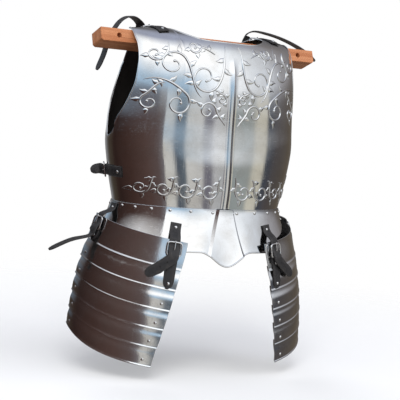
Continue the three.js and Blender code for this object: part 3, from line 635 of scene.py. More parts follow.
def round_profile(sides):
    turns = np.linspace(0, 2 * np.pi, sides, endpoint=False)
    return np.stack([np.cos(turns), np.sin(turns)], -1)


def rim_along(s, points, outs):
    """A turned rim: a round bead along an open edge."""
    radius = s.torso.rim
    return sweep(points - outs * s.torso.steel / 2, outs, round_profile(10), radius, radius)


# Materials


def new_group(name, inputs, outputs, tree_kind="ShaderNodeTree"):
    """An empty node group with named sockets: name, the socket type's ending and default value."""
    group = bpy.data.node_groups.new(name, tree_kind)
    for socket_name, kind, default in inputs:
        kind = "NodeSocket" + kind
        socket = group.interface.new_socket(name=socket_name, in_out="INPUT", socket_type=kind)
        if default is not None:
            socket.default_value = default
    for socket_name, kind in outputs:
        kind = "NodeSocket" + kind
        group.interface.new_socket(name=socket_name, in_out="OUTPUT", socket_type=kind)
    source, sink = group.nodes.new("NodeGroupInput"), group.nodes.new("NodeGroupOutput")
    return group, Board(group), source.outputs, sink.inputs


class Board:
    """Short ways to place and join the nodes of one tree."""

    def __init__(self, tree):
        self.tree, self.nodes = tree, tree.nodes

    def node(self, kind, links=None, **settings):
        made = self.nodes.new(kind)
        for key, value in settings.items():
            setattr(made, key, value)
        for socket, value in (links or {}).items():
            self.put(made.inputs[socket], value)
        return made

    def put(self, socket, value):
        if isinstance(value, bpy.types.NodeSocket):
            self.tree.links.new(value, socket)
        else:
            socket.default_value = value

    def noise(self, vector, scale, detail=3.0, roughness=0.5, distortion=0.0):
        links = {
            "Vector": vector, "Scale": scale, "Detail": detail, "Roughness": roughness,
            "Distortion": distortion,
        }
        return self.node("ShaderNodeTexNoise", links).outputs["Fac"]

    def stretched(self, vector, scale):
        return self.node("ShaderNodeMapping", {"Vector": vector, "Scale": scale}).outputs["Vector"]

    def math(self, operation, a, b=0.5):
        made = self.node("ShaderNodeMath", operation=operation)
        self.put(made.inputs[0], a)
        self.put(made.inputs[1], b)
        return made.outputs[0]

    def range(self, value, low, high, to_low, to_high):
        links = {"Value": value, "From Min": low, "From Max": high, "To Min": to_low, "To Max": to_high}
        return self.node("ShaderNodeMapRange", links).outputs["Result"]

    def mix(self, factor, a, b):
        made = self.node("ShaderNodeMix", data_type="RGBA")
        self.put(made.inputs[0], factor)
        self.put(made.inputs[6], a)
        self.put(made.inputs[7], b)
        return made.outputs[2]


def handling_group():
    """Wear that every metal shows: smudges, fine scratches and a hand-beaten waviness."""
    group, board, given, wanted = new_group(
        "Handling marks",
        [
            ("Vector", "Vector", None), ("Smudge Scale", "Float", 22.0),
            ("Scratch Scale", "Float", 260.0), ("Wave Scale", "Float", 13.0),
        ],
        [("Smudges", "Float"), ("Scratches", "Float"), ("Waves", "Float")],
    )
    smudges = board.noise(given["Vector"], given["Smudge Scale"], 5.0, 0.62, 0.4)
    scratches = []
    for scale in ((1.0, 1.0, 0.03), (0.05, 0.6, 1.0), (0.7, 0.04, 0.9)):
        streaks = board.noise(board.stretched(given["Vector"], scale), given["Scratch Scale"], 2.0, 0.6)
        scratches.append(board.range(streaks, 0.6, 0.72, 0.0, 1.0))
    total = board.math("ADD", board.math("ADD", scratches[0], scratches[1]), scratches[2])
    board.put(wanted["Smudges"], board.range(smudges, 0.38, 0.66, 0.0, 1.0))
    board.put(wanted["Scratches"], board.math("MINIMUM", total, 1.0))
    board.put(wanted["Waves"], board.noise(given["Vector"], given["Wave Scale"], 1.5, 0.4))


def new_material(name):
    material = bpy.data.materials.new(name)
    material.use_nodes = True
    board = Board(material.node_tree)
    shader = board.nodes["Principled BSDF"]
    place = board.node("ShaderNodeTexCoord").outputs["Object"]
    return material, board, shader, place


def dress(board, shader, tint, roughness, metallic=0.0, height=None, distance=0.001, strength=1.0):
    """Joins a finish's colour, roughness and relief to its shader."""
    board.put(shader.inputs["Base Color"], tint)
    board.put(shader.inputs["Roughness"], roughness)
    shader.inputs["Metallic"].default_value = metallic
    if height is not None:
        bump = board.node("ShaderNodeBump", {"Height": height, "Distance": distance, "Strength": strength})
        board.put(shader.inputs["Normal"], bump.outputs["Normal"])


def steel_material(name, colour_value, tarnish, roughness, waviness):
    """Hand-polished steel with smudges, fine scratches and bright, worn edges."""
    material, board, shader, place = new_material(name)
    marks = board.node("ShaderNodeGroup", node_tree=bpy.data.node_groups["Handling marks"])
    board.put(marks.inputs["Vector"], place)
    near = board.node("ShaderNodeAttribute", attribute_name="edge_nearness").outputs["Fac"]
    worn = board.math("MULTIPLY", near, 0.75)
    dulled = board.math("SUBTRACT", board.math("MULTIPLY", marks.outputs["Smudges"], 0.7), worn)
    tint = board.mix(board.math("MAXIMUM", dulled, 0.0), (*colour_value, 1), (*tarnish, 1))
    low, high = roughness
    rough = board.range(marks.outputs["Smudges"], 0.0, 1.0, low, high)
    scratched = board.math("MULTIPLY", marks.outputs["Scratches"], 0.07)
    waves = board.math("MULTIPLY", marks.outputs["Waves"], waviness)
    height = board.math("ADD", waves, board.math("MULTIPLY", marks.outputs["Scratches"], -0.012))
    dress(board, shader, tint, board.math("ADD", rough, scratched), 1.0, height)
    return material


def inside_material(finish):
    """Near-black, unpolished inside of the plates."""
    material, board, shader, place = new_material("Near-black inside")
    patches = board.noise(place, 30.0, 5.0, 0.65)
    tint = board.mix(patches, (*finish.inside, 1), (0.05, 0.042, 0.036, 1))
    rough = board.range(patches, 0.3, 0.7, 0.45, 0.7)
    dress(board, shader, tint, rough, 0.6, board.noise(place, 500.0), 0.0003)
    return material


def leather_material(finish):
    """Black strap leather with a pebbled grain, creases and rubbed edges."""
    material, board, shader, place = new_material("Black strap leather")
    links = {"Vector": place, "Scale": 900.0}
    pebbles = board.node("ShaderNodeTexVoronoi", links, feature="DISTANCE_TO_EDGE")
    pebble = board.range(pebbles.outputs["Distance"], 0.0, 0.25, 0.0, 1.0)
    creases = board.noise(place, 90.0, 4.0, 0.65, 0.8)
    rubbed = board.range(creases, 0.52, 0.72, 0.0, 0.5)
    near = board.node("ShaderNodeAttribute", attribute_name="edge_nearness").outputs["Fac"]
    rubbed = board.math("ADD", rubbed, board.math("MULTIPLY", near, 0.3))
    tint = board.mix(rubbed, (*finish.leather, 1), (0.055, 0.05, 0.048, 1))
    rough = board.range(creases, 0.3, 0.75, 0.4, 0.62)
    height = board.math("ADD", board.math("MULTIPLY", pebble, 0.25), creases)
    dress(board, shader, tint, rough, 0.0, height, 0.0004, 0.8)
    return material


def wood_material(finish):
    """Reddish softwood with grain along the bar."""
    material, board, shader, place = new_material("Bar wood")
    grain = board.noise(board.stretched(place, (5.0, 130.0, 60.0)), 1.0, 6.0, 0.6, 0.6)
    fibres = board.noise(board.stretched(place, (18.0, 900.0, 900.0)), 1.0, 2.0, 0.5)
    shade = board.range(board.math("ADD", grain, board.math("MULTIPLY", fibres, 0.4)), 0.5, 0.95, 0.0, 1.0)
    patches = board.range(board.noise(place, 14.0, 3.0, 0.5), 0.35, 0.7, 0.0, 0.45)
    tint = board.mix(shade, (*finish.wood, 1), (*finish.dark_wood, 1))
    tint = board.mix(patches, tint, (*finish.dark_wood, 1))
    dress(board, shader, tint, board.range(grain, 0.3, 0.7, 0.45, 0.7), 0.0, shade, 0.0004, 0.7)
    return material


def hole_shade_material():
    """Painted shade for a punched hole: a near-black disc that stands in for the shade inside the hole."""
    material, board, shader, place = new_material("Painted hole shade")
    fuzz = board.noise(place, 1200.0)
    dress(board, shader, board.mix(fuzz, (0.002, 0.002, 0.002, 1), (0.012, 0.01, 0.009, 1)), 0.9)
    return material


def material(name):
    """A finish by name, made the first time it is asked for."""
    if name in bpy.data.materials:
        return bpy.data.materials[name]
    finish = bpy.context.scene.cuirass.finish
    if "Handling marks" not in bpy.data.node_groups:
        handling_group()
    steel, tarnish = tuple(finish.steel), tuple(finish.tarnish)
    makers = {
        "Polished steel": lambda: steel_material("Polished steel", steel, tarnish, (0.05, 0.13), 0.3),
        "Lame steel": lambda: steel_material("Lame steel", steel, tarnish, (0.1, 0.2), 0.4),
        "Buckle wire": lambda: steel_material("Buckle wire", (0.8, 0.8, 0.8), steel, (0.12, 0.24), 0.05),
        "Near-black inside": lambda: inside_material(finish),
        "Black strap leather": lambda: leather_material(finish),
        "Bar wood": lambda: wood_material(finish),
        # Painted hole shade: near-black discs that stand in for the shade inside the punched holes.
        "Painted hole shade": hole_shade_material,
    }
    return makers[name]()


# Torso plates


# Columns of the breastplate on each side: beside the keel in millimetres out, then over the neckline.
KEEL_COLUMNS = np.array([0.8, 2, 4, 7, 10, 12, 14])
NECK_COLUMNS = 34


def front_grid(s):
    """Angles and tracks of the breastplate's columns. The middle ones run along the keel."""
    half = s.torso.half_width
    edge = FRONT_NECK["across"][-1]
    shares = np.concatenate([np.linspace(0.055, edge, NECK_COLUMNS), np.linspace(edge, 1, 40)[1:]])
    rows = np.linspace(0, 1, 110)
    columns = []
    top = track_at(FRONT_NECK["rise"][0]) * rows
    wide = half * smooth(TORSO["wide"], top)
    for distance in (0, *(KEEL_COLUMNS * MM)):
        columns.append((np.arcsin((distance / wide) ** (s.torso.squareness / 2)), top))
    for share in shares:
        rise = even_curve(FRONT_NECK, "across", "rise", min(share, edge))
        track = track_at(rise) * rows
        spread = even_curve(FRONT_ARMHOLE, "rise", "angle", smooth(TORSO["rise"], track))
        columns.append((share * np.radians(spread), track))
    mirror = [(-angle, track) for angle, track in columns[:0:-1]]
    both = mirror + columns
    return np.array([angle for angle, _ in both]), np.array([track for _, track in both])


def chest_place(s, distance, rise):
    """Angle and track on the breastplate at a distance out from the middle and a rise."""
    track = track_at(rise)
    wide = s.torso.half_width * smooth(TORSO["wide"], track)
    return np.arcsin(np.clip(distance / wide, 0, 1) ** (s.torso.squareness / 2)), track


# Profile of a raised rib, as shares of its half width and height.
DOME = [
    (-1, -0.35), (-0.9, 0.35), (-0.62, 0.78), (-0.25, 0.97),
    (0.25, 0.97), (0.62, 0.78), (0.9, 0.35), (1, -0.35),
]


def rib(s, side, outs_along, ups_along, widths, heights):
    """A raised rib on the breastplate through places given as shares of half width and height."""
    angle, track = chest_place(s, np.asarray(outs_along) * s.torso.half_width, np.asarray(ups_along))
    points, outs = on(s, face_of(torso, s, side), angle, track)
    return sweep(points, outs, DOME, widths, heights)


def taper(count, start, end, power=0.6):
    """Shares of a full width that narrow to points at the ends given as shares of the length."""
    t = np.linspace(0, 1, count)
    rising = np.clip(t / max(start, 1e-6), 0, 1) ** power if start else np.ones(count)
    falling = np.clip((1 - t) / max(end, 1e-6), 0, 1) ** power if end else np.ones(count)
    return np.maximum(np.minimum(rising, falling), 0.08)


def turned(points, degrees):
    """Flat vectors turned by an angle."""
    c, n = math.cos(math.radians(degrees)), math.sin(math.radians(degrees))
    return np.asarray(points) @ np.array([[c, n], [-n, c]])


def leaf_path(foot, way, size, hand, steps=14):
    """A flat path that springs from a stem and bends further away from it."""
    share = np.linspace(0, 1, steps)[:, None]
    first = turned(way, hand * LEAF_SPREAD)
    last = turned(first, hand * LEAF_BEND)
    return foot + size * (share * first * (1 - share / 2) + share**2 * last / 2)


def stem_path(root, heading, tip, way, steps=36):
    """A flat path from a root to a volute's outer end, smooth where they meet."""
    t = np.linspace(0, 1, steps)[:, None]
    pull = 1.1 * np.linalg.norm(tip - root)
    first = turned((pull, 0), heading)
    return hermite(t, root, tip, first, way * pull)


def scrollwork(s):
    """Volutes on stems with leaves, in low relief, alike on both sides of the keel. The paths are worked
    out flat, in units of the chest's half width."""
    shape = Shape()
    aspect = s.torso.half_width / s.torso.height
    width, height = s.torso.scroll_width / 2, s.torso.scroll_height

    def add_rib(side, path, size, rise):
        shape.add(*rib(s, side, path[:, 0], path[:, 1] * aspect, width * size, height * rise))

    for scroll in SCROLLS:
        share = np.linspace(0, 1, 64)
        hand = np.sign(scroll["turns"])
        eye = np.array([scroll["out"], scroll["up"] / aspect])
        turn = np.radians(scroll["start"]) + 2 * np.pi * scroll["turns"] * share
        reach = scroll["radius"] * (1 - VOLUTE_CLOSES * share)
        volute = eye + reach[:, None] * np.stack([np.cos(turn), np.sin(turn)], -1)
        root = np.array([scroll["root_out"], scroll["root_up"] / aspect])
        stem = stem_path(root, scroll["heading"], volute[0], unit(volute[1] - volute[0]))
        leaves = []
        leaf = LEAF_SHARE * scroll["radius"] + LEAF_ADDED
        for place, leaf_hand in STEM_LEAVES:
            index = int(place * (len(stem) - 1))
            way = unit(stem[index + 1] - stem[index])
            leaves.append(leaf_path(stem[index], way, leaf, leaf_hand))
        for place in VOLUTE_LEAVES:
            index = int(place * (len(volute) - 1))
            way = unit(volute[index + 1] - volute[index])
            leaves.append(leaf_path(volute[index], way, leaf, -hand))
        for side in SIDES.values():
            add_rib(side, volute, 1 - VOLUTE_NARROWS * share, 1 - VOLUTE_SINKS * share)
            add_rib(side, stem, taper(len(stem), 0.5, 0.0), 1.0)
            for path in leaves:
                size = taper(len(path), 0.45, 0.6, 0.8)
                add_rib(side, path, LEAF_WIDTH * size, 0.3 + 0.4 * size)
            angle, track = chest_place(s, volute[-1, 0] * s.torso.half_width, volute[-1, 1] * aspect)
            place, out = on(s, face_of(torso, s, side), angle, track)
            shape.add(*bead(place, out, width * 1.15, height * 1.05))
    return shape


def bead(place, out, radius, height):
    """A low round boss on a face."""
    rings = [(1.0, -0.2), (0.95, 0.35), (0.75, 0.75), (0.4, 0.96)]
    seed = np.array([0, 0, 1.0]) if abs(out[2]) < 0.9 else np.array([1.0, 0, 0])
    first = unit(np.cross(out, seed))
    second = np.cross(out, first)
    turns = np.linspace(0, 2 * np.pi, 12, endpoint=False)
    ring = np.cos(turns)[:, None] * first + np.sin(turns)[:, None] * second
    points = np.concatenate([place + ring * radius * wide + out * height * up for wide, up in rings])
    points = np.concatenate([points, [place + out * height]])
    faces = [
        (r * 12 + i, r * 12 + (i + 1) % 12, (r + 1) * 12 + (i + 1) % 12, (r + 1) * 12 + i)
        for r in range(3)
        for i in range(12)
    ]
    faces += [(36 + i, 36 + (i + 1) % 12, 48) for i in range(12)]
    faces.append(tuple(range(12))[::-1])
    return points, turned_out(points, faces)


def make_breastplate(s):
    """The breastplate's shell, its turned rims and its scrollwork."""
    angle, track = front_grid(s)
    face = face_of(torso, s)
    points, outs = on(s, face, angle, track)
    shape = Shape(wall(points, outs, s.torso.steel))
    steel_piece("breastplate_shell", shape, "breastplate", 24)
    rims = Shape()
    half = len(points) // 2
    neck_half = len(KEEL_COLUMNS) + NECK_COLUMNS
    neck = [i for i in range(len(points)) if abs(i - half) <= neck_half]
    rims.add(*rim_along(s, points[neck, -1], outs[neck, -1]))
    armhole = track[-1] > track_at(FRONT_ARMHOLE["rise"][1])
    for column in (0, -1):
        rims.add(*rim_along(s, points[column, armhole], outs[column, armhole]))
    steel_trim("breastplate_rims", rims, 60, True)
    steel_trim("breastplate_scrollwork", scrollwork(s), 50, False)


def back_lift(s):
    """How far the backplate lies inside the torso's outer face."""
    return -s.torso.steel - s.torso.gap


def waist_back_lift(s):
    """How far the back waist plate lies inside the front one's outer face."""
    return 2 * back_lift(s) + s.torso.steel + s.torso.gap / 1.5


def make_backplate(s):
    """The backplate's shell with its shoulder tongues, and its turned rims."""
    neck_end, tongue = BACK_NECK["angle"][-2:]
    armhole = np.linspace(tongue + 0.25, BACK_ARMHOLE["angle"][-1], 36)
    half = np.concatenate([np.linspace(0, neck_end, 22), np.linspace(neck_end, tongue, 12)[1:], armhole])
    angles = np.concatenate([-half[:0:-1], half])
    body, top = np.linspace(0, 1, 60), np.linspace(0, 1, 26)[1:]
    tongue_track = track_at(BACK_ARMHOLE["rise"][0])
    tracks = []
    for angle in np.abs(angles):
        table = BACK_NECK if angle <= tongue else BACK_ARMHOLE
        top_track = track_at(even_curve(table, "angle", "rise", angle))
        body_top = min(top_track, tongue_track)
        tracks.append(np.concatenate([body_top * body, body_top + (top_track - body_top) * top]))
    tracks = np.array(tracks)
    grid = np.broadcast_to(np.pi + np.radians(angles)[:, None], tracks.shape)
    points, outs = on(s, face_of(torso, s), grid, tracks, back_lift(s))
    inner = np.abs(angles) <= tongue + 1e-6
    keep = np.ones((len(angles) - 1, len(body) + len(top) - 1), bool)
    keep[~(inner[1:] & inner[:-1]), len(body) - 1 :] = False
    shape = Shape(wall(points, outs, s.torso.steel, keep))
    steel_piece("backplate_shell", shape, "backplate")
    rims = Shape()
    neck = np.abs(angles) <= neck_end + 0.01
    rims.add(*rim_along(s, points[neck, -1], outs[neck, -1]))
    body_row = len(body) - 1
    for way in (-1, 1):
        sides = np.flatnonzero(angles * way > tongue + 0.1)
        order = sides if way > 0 else sides[::-1]
        edge_points, edge_outs = points[order, body_row], outs[order, body_row]
        column = np.flatnonzero(np.isclose(angles, way * tongue))[0]
        tongue_rows = np.arange(points.shape[1] - 1, body_row - 1, -1)
        edge_points = np.concatenate([points[column, tongue_rows], edge_points])
        edge_outs = np.concatenate([outs[column, tongue_rows], edge_outs])
        rims.add(*rim_along(s, edge_points, edge_outs))
    steel_trim("backplate_rims", rims, 60, True)


def make_waist_plates(s):
    """The front plate with its middle flute and the plain back plate, each with a turned hem."""
    falls = np.linspace(0, 1, 40)
    wide = waist_half_width(s, falls)
    flute = flute_half_width(s, falls)
    power = s.torso.squareness / 2
    columns = [np.arcsin((share * flute / wide) ** power) for share in np.linspace(0, 1, 9)]
    for beyond in (0.5, 1.0, 1.4):
        columns.append(np.arcsin(((flute + beyond * s.waist.flute_edge) / wide) ** power))
    last = columns[-1]
    for share in np.linspace(0, 1, 56)[1:]:
        columns.append(last + (math.radians(88) - last) * share)
    angle = np.array([-column for column in columns[:0:-1]] + columns)
    fall = np.broadcast_to(falls, angle.shape)
    face = face_of(waist, s)
    points, outs = on(s, face, angle, fall)
    shape = Shape(wall(points, outs, s.torso.steel), rim_along(s, points[:, -1], outs[:, -1]))
    steel_piece("waist_plate_front", shape, "fauld_front")
    angles = np.pi + np.radians(np.linspace(-95, 95, 110))
    angle, fall = np.meshgrid(angles, falls, indexing="ij")
    points, outs = on(s, face, angle, fall, waist_back_lift(s))
    shape = Shape(wall(points, outs, s.torso.steel), rim_along(s, points[:, -1], outs[:, -1]))
    steel_piece("waist_plate_back", shape, "fauld_back")


# Tassets

# Rivets of the tassets: degrees in from an edge, and up from a lame's end.
RIVET_EDGE = 5
RIVET_UP = 13 * MM
# Rivets of the waist plates: the last one's angle in degrees, and how far down the plate they sit.
WAIST_RIVET_END, WAIST_RIVET_FALL = 77, 0.07
# A lame's lower edge: how wide its turned part is, how far it stands out, and how much the lame swells.
LIP_WIDTH, LIP_FLARE, LAME_SWELL = 4.2 * MM, 1.3 * MM, 0.5 * MM


def beside_edge(fall, is_side):
    """Angle of the rivets and the inner leather beside one edge of the tasset."""
    return np.radians(tasset_edge(fall, is_side) + (-RIVET_EDGE if is_side else RIVET_EDGE))


def rivet_fall(s, number):
    """How far down the tasset a lame's rivets sit."""
    return LAME_ENDS[number - 1] - RIVET_UP / s.tasset.length_front


def lame(s, side, number):
    """One lame: tucked under the one above, swelling, with its lower edge turned a little outward."""
    t = s.tasset
    top = 0.0 if number == 1 else LAME_ENDS[number - 2] - t.overlap / t.length_front
    bottom = LAME_ENDS[number - 1]
    lip = LIP_WIDTH / (t.length_front * (bottom - top))
    near_end = 1 - lip * np.array([0.84, 0.68, 0.52, 0.36, 0.22, 0.1, 0.0])
    down = np.concatenate([np.linspace(0, 1 - lip, 22), near_end])
    tuck = np.zeros(len(down)) if number == 1 else even_curve(LAME_TUCK, "down", "lift", down) * t.step
    start = 0.0 if number == 1 else 0.45
    swell = LAME_SWELL * np.sin(np.pi * np.clip((down - start) / (1 - start), 0, 1))
    flare = LIP_FLARE * smoothstep(down, 1 - lip, 1 - 0.2 * lip)
    lift = tuck + swell + flare
    fall = top + (bottom - top) * down
    across = np.linspace(0, 1, 61)[:, None]
    angle = np.radians(tasset_edge(fall, False) * (1 - across) + tasset_edge(fall, True) * across)
    fall = np.broadcast_to(fall, angle.shape)
    points, outs = on(s, face_of(tasset, s, side), angle, fall, lift[None, :])
    return Shape(wall(points, outs, s.torso.steel))


def make_tassets(s):
    """The lames of both tassets and the leathers behind them."""
    for name, side in SIDES.items():
        for number in range(1, len(LAME_ENDS) + 1):
            finishes = [material("Lame steel"), material("Near-black inside")]
            nodes = [f"{name}_tasset_lame_{number}"]
            plate = lame(s, side, number)
            make_piece(
                f"{name}_lame_{number}", plate, finishes, nodes, 35, EDGE_RADIUS, True
            )
        for kind, is_side in (("front", False), ("side", True)):
            falls = np.linspace(0.13, 0.97, 40)
            angle = beside_edge(falls, is_side)
            lift = -s.tasset.step - s.torso.steel - 1 * MM - s.trim.leather
            points, outs = on(s, face_of(tasset, s, side), angle, falls, lift)
            shape = Shape(leather_band(s, points, outs, tip=0.0))
            leather_piece(f"{name}_inner_leather_{kind}", shape, f"{name}_tasset_leather_{kind}")


# Straps

# Profile of a strap, with a crease along each edge.
BAND = [
    (-1.0, 0.25), (-0.985, 0.7), (-0.93, 0.95), (-0.85, 0.98), (-0.8, 0.88), (-0.75, 0.99), (-0.3, 1.03),
    (0.3, 1.03), (0.75, 0.99), (0.8, 0.88), (0.85, 0.98), (0.93, 0.95), (0.985, 0.7), (1.0, 0.25),
    (0.96, 0.0), (-0.96, 0.0),
]


def leather_band(s, points, outs, tip=0.016):
    """A flat strap along places on its inner face, with creased edges and a pointed far end."""
    gone = np.concatenate([[0], np.cumsum(np.linalg.norm(np.diff(points, axis=0), axis=1))])
    widths = np.full(len(points), s.trim.strap_width / 2)
    if tip:
        left = np.clip((gone[-1] - gone) / tip, 0, 1)
        widths = widths * (0.12 + 0.88 * np.sqrt(1 - (1 - left) ** 2))
    return sweep(points, outs, BAND, widths, s.trim.leather)


def cut_corners(points, times=2):
    """A polyline with its corners cut off, ends kept."""
    points = np.asarray(points, float)
    for _ in range(times):
        near = 0.75 * points[:-1] + 0.25 * points[1:]
        far = 0.25 * points[:-1] + 0.75 * points[1:]
        cut = np.stack([near, far], 1).reshape(-1, points.shape[1])
        points = np.concatenate([points[:1], cut, points[-1:]])
    return points


def dense_tip(route):
    """The same route with more places near its far end, for a round tip."""
    last, before = route[-1], route[-2]
    added = [before + (last - before) * share for share in (0.4, 0.7, 0.88, 0.96, 1.0)]
    return np.concatenate([route[:-1], added])


class Fastening:
    """The heights of a strap, its buckle and its chape above their plate, in metres."""

    def __init__(self, s):
        self.s = s
        self.seat = 0.35 * MM
        self.strap = self.seat + 0.4 * MM
        slack = 0.9 * MM
        self.wire = self.strap + s.trim.leather + slack + s.trim.wire
        self.over = self.wire + s.trim.wire + slack
        self.half = s.trim.buckle_length / 2 - s.trim.wire

    def route(self, place, held, tail_from, bulge=0.0):
        """Places of a strap through its buckle, and of its free end."""
        through = [
            place(-self.half - 8 * MM, self.strap + self.seat),
            place(-self.half + 2 * MM, self.strap),
            place(0, self.over * 0.4),
            place(self.half - 2 * MM, self.over + bulge),
            place(self.half + 4 * MM, self.over + bulge),
        ]
        first = cut_corners([np.concatenate(station) for station in held + through])
        stops = [np.concatenate(station) for station in through[-1:] + tail_from(through[-1])]
        end = smooth(stops, np.linspace(0, 1, 8 * (len(stops) - 1) + 1))
        return first, dense_tip(end[1:])

    def strap_shape(self, place, held, tail_from, bulge=0.0):
        first, end = self.route(place, held, tail_from, bulge)
        both = np.concatenate([first, end])
        return Shape(leather_band(self.s, both[:, :3], both[:, 3:])), end

    def chape_shape(self, place, reach):
        distances = np.linspace(self.half - 6 * MM, reach, 22)
        stations = np.array([np.concatenate(place(distance, self.seat)) for distance in distances])
        return Shape(leather_band(self.s, stations[:, :3], stations[:, 3:]))

    def buckle_shape(self, place):
        """A rounded wire frame and a prong that rests on its outer side."""
        s = self.s
        middle, out = place(0, self.wire)
        way = unit(place(self.half, self.wire)[0] - place(-self.half, self.wire)[0])
        up = unit(out - way * np.dot(out, way))
        across = np.cross(way, up)
        turn = np.linspace(0, 2 * np.pi, 48, endpoint=False)
        wide = s.trim.buckle_width / 2 - s.trim.wire
        ring = (
            middle
            + across * (wide * signed_power(np.cos(turn), 0.4))[:, None]
            + way * (self.half * signed_power(np.sin(turn), 0.4))[:, None]
        )
        wire, profile = s.trim.wire, round_profile(10)
        frame_part = sweep(ring, np.broadcast_to(up, ring.shape), profile, wire, wire, True)
        share = np.linspace(-1.2, 0.1, 16)
        rise = wire * (1.75 - 1.1 * np.clip(share + 0.2, 0, 1) ** 2 * 6)
        prong = middle + way * (self.half * share)[:, None] + up * rise[:, None]
        radius = wire * np.interp(share, [-1.2, -1.1, 0.1], [0.35, 0.68, 0.85])
        prong_part = sweep(prong, np.broadcast_to(up, prong.shape), profile, radius, radius)
        return Shape(frame_part, prong_part)


def free_end(s, side, table):
    """Places of a strap's free end from where it leaves its buckle."""
    turn = np.array([side, 1, 1])
    return lambda start: [
        (start[0] + np.array(place) * turn * s.trim.strap_width, unit(np.array(way, float) * turn))
        for place, way in table
    ]


def fastenings(s):
    """Every strap with its chape and buckle: name, place function, held part, free end, reach, bulge and
    the rivets of the strap and of the chape."""
    f = Fastening(s)
    made = []
    for name, side in SIDES.items():
        for hanging in HANGING:
            made.append(hanging_strap(s, f, name, side, hanging))
        made.append(shoulder_strap(s, f, name, side))
        made.append(side_strap(s, f, name, side))
    return made


def hanging_strap(s, f, name, side, hanging):
    upper, lower = face_of(waist, s, side), face_of(tasset, s, side)
    angle, buckle_down, long = hanging["angle"], 17 * MM, s.tasset.length_front

    def place(distance, lift, drift=0.0):
        return on(s, lower, math.radians(angle + drift), (buckle_down + distance) / long, lift)

    def on_waist(distance, lift):
        return on(s, upper, math.radians(angle), (hanging["start"] * MM + distance) / s.waist.drop, lift)

    def tail(start):
        return [place(down * MM - buckle_down, f.over * 0.8, drift) for down, drift in hanging["tail"]]

    if hanging["kind"] == "hip" and side < 0:
        tail = free_end(s, side, HIP_TAIL)
    rivets = []
    for number in range(1, hanging["lames"] + 1):
        distance = rivet_fall(s, number) * long - buckle_down
        rivets.append(place(distance, f.seat + s.trim.leather))
    return {
        "name": f"{name}_{hanging['kind']}", "place": place, "tail": tail, "bulge": 0.0,
        "held": [on_waist(0, f.strap), on_waist(15 * MM, f.strap)], "reach": hanging["reach"] * MM,
        "rivets": [on_waist(9 * MM, f.strap + s.trim.leather), *rivets],
    }


def shoulder_strap(s, f, name, side):
    face = face_of(torso, s, side)
    angle, last = 41.0, len(TORSO) - 1

    def in_front(rows, lift):
        return on(s, face, math.radians(angle), 1 - rows / last, lift)

    def place(distance, lift, drift=0.0):
        rows = 1.8 + distance / (16 * MM)
        return on(s, face, math.radians(180 - angle), 1 - rows / last, lift + back_lift(s))

    lift = f.strap + f.seat
    return {
        "name": f"{name}_shoulder", "place": place, "tail": free_end(s, side, SHOULDER_TAILS[name]),
        "bulge": 2.4 * MM, "held": [in_front(rows, lift) for rows in (2.4, 1.6, 0.8, 0.2)], "reach": 46 * MM,
        "rivets": [in_front(1.9, lift + s.trim.leather), place(34 * MM, f.seat + s.trim.leather)],
    }


def side_strap(s, f, name, side):
    face, track = face_of(torso, s, side), track_at(0.17)

    def around(angle, lift):
        return on(s, face, math.radians(angle), track, lift)

    def place(distance, lift, drift=0.0):
        return around(108 + math.degrees(distance / s.torso.back_depth) * 0.85, lift + back_lift(s))

    return {
        "name": f"{name}_side", "place": place, "tail": free_end(s, side, SIDE_TAIL), "bulge": 1.2 * MM,
        "held": [around(angle, f.strap) for angle in (75, 79, 83, 88)], "reach": 48 * MM,
        "rivets": [around(79, f.strap + s.trim.leather), place(36 * MM, f.seat + s.trim.leather)],
    }


def make_straps(s):
    """Every strap with its holes, its buckle and the tongue that holds the buckle. The holes are near-black
    discs of painted shade.
    """
    f = Fastening(s)
    holes = []
    for fastening in fastenings(s):
        name, place = fastening["name"], fastening["place"]
        strap, end = f.strap_shape(place, fastening["held"], fastening["tail"], fastening["bulge"])
        leather_piece(f"{name}_band", strap, f"{name}_strap")
        leather_piece(f"{name}_tongue", f.chape_shape(place, fastening["reach"]), f"{name}_chape")
        wire = f.buckle_shape(place)
        finish = [material("Buckle wire")]
        make_piece(f"{name}_frame", wire, finish, [f"{name}_buckle"], 60)
        holes += hole_places(s, end)
    # The holes are near-black discs of painted shade on the strap.
    finish = material("Painted hole shade")
    instances("strap_hole_shade", "Hole shade discs", holes, s.trim.hole, 0.08, finish, 10)


def hole_places(s, route):
    """Holes down the middle of a strap's free end: the places of their painted shade discs."""
    points, outs = route[:, :3], unit(route[:, 3:])
    gone = np.concatenate([[0], np.cumsum(np.linalg.norm(np.diff(points, axis=0), axis=1))])
    along = unit(np.gradient(points, axis=0))
    outs = unit(outs - along * np.sum(outs * along, -1, keepdims=True))
    places = []
    for distance in np.arange(0.012, gone[-1] - 0.018, 0.0165):
        point = [np.interp(distance, gone, points[:, axis]) for axis in range(3)]
        out = unit(np.array([np.interp(distance, gone, outs[:, axis]) for axis in range(3)]))
        places.append((np.array(point) + out * s.trim.leather * 1.03, out))
    return places
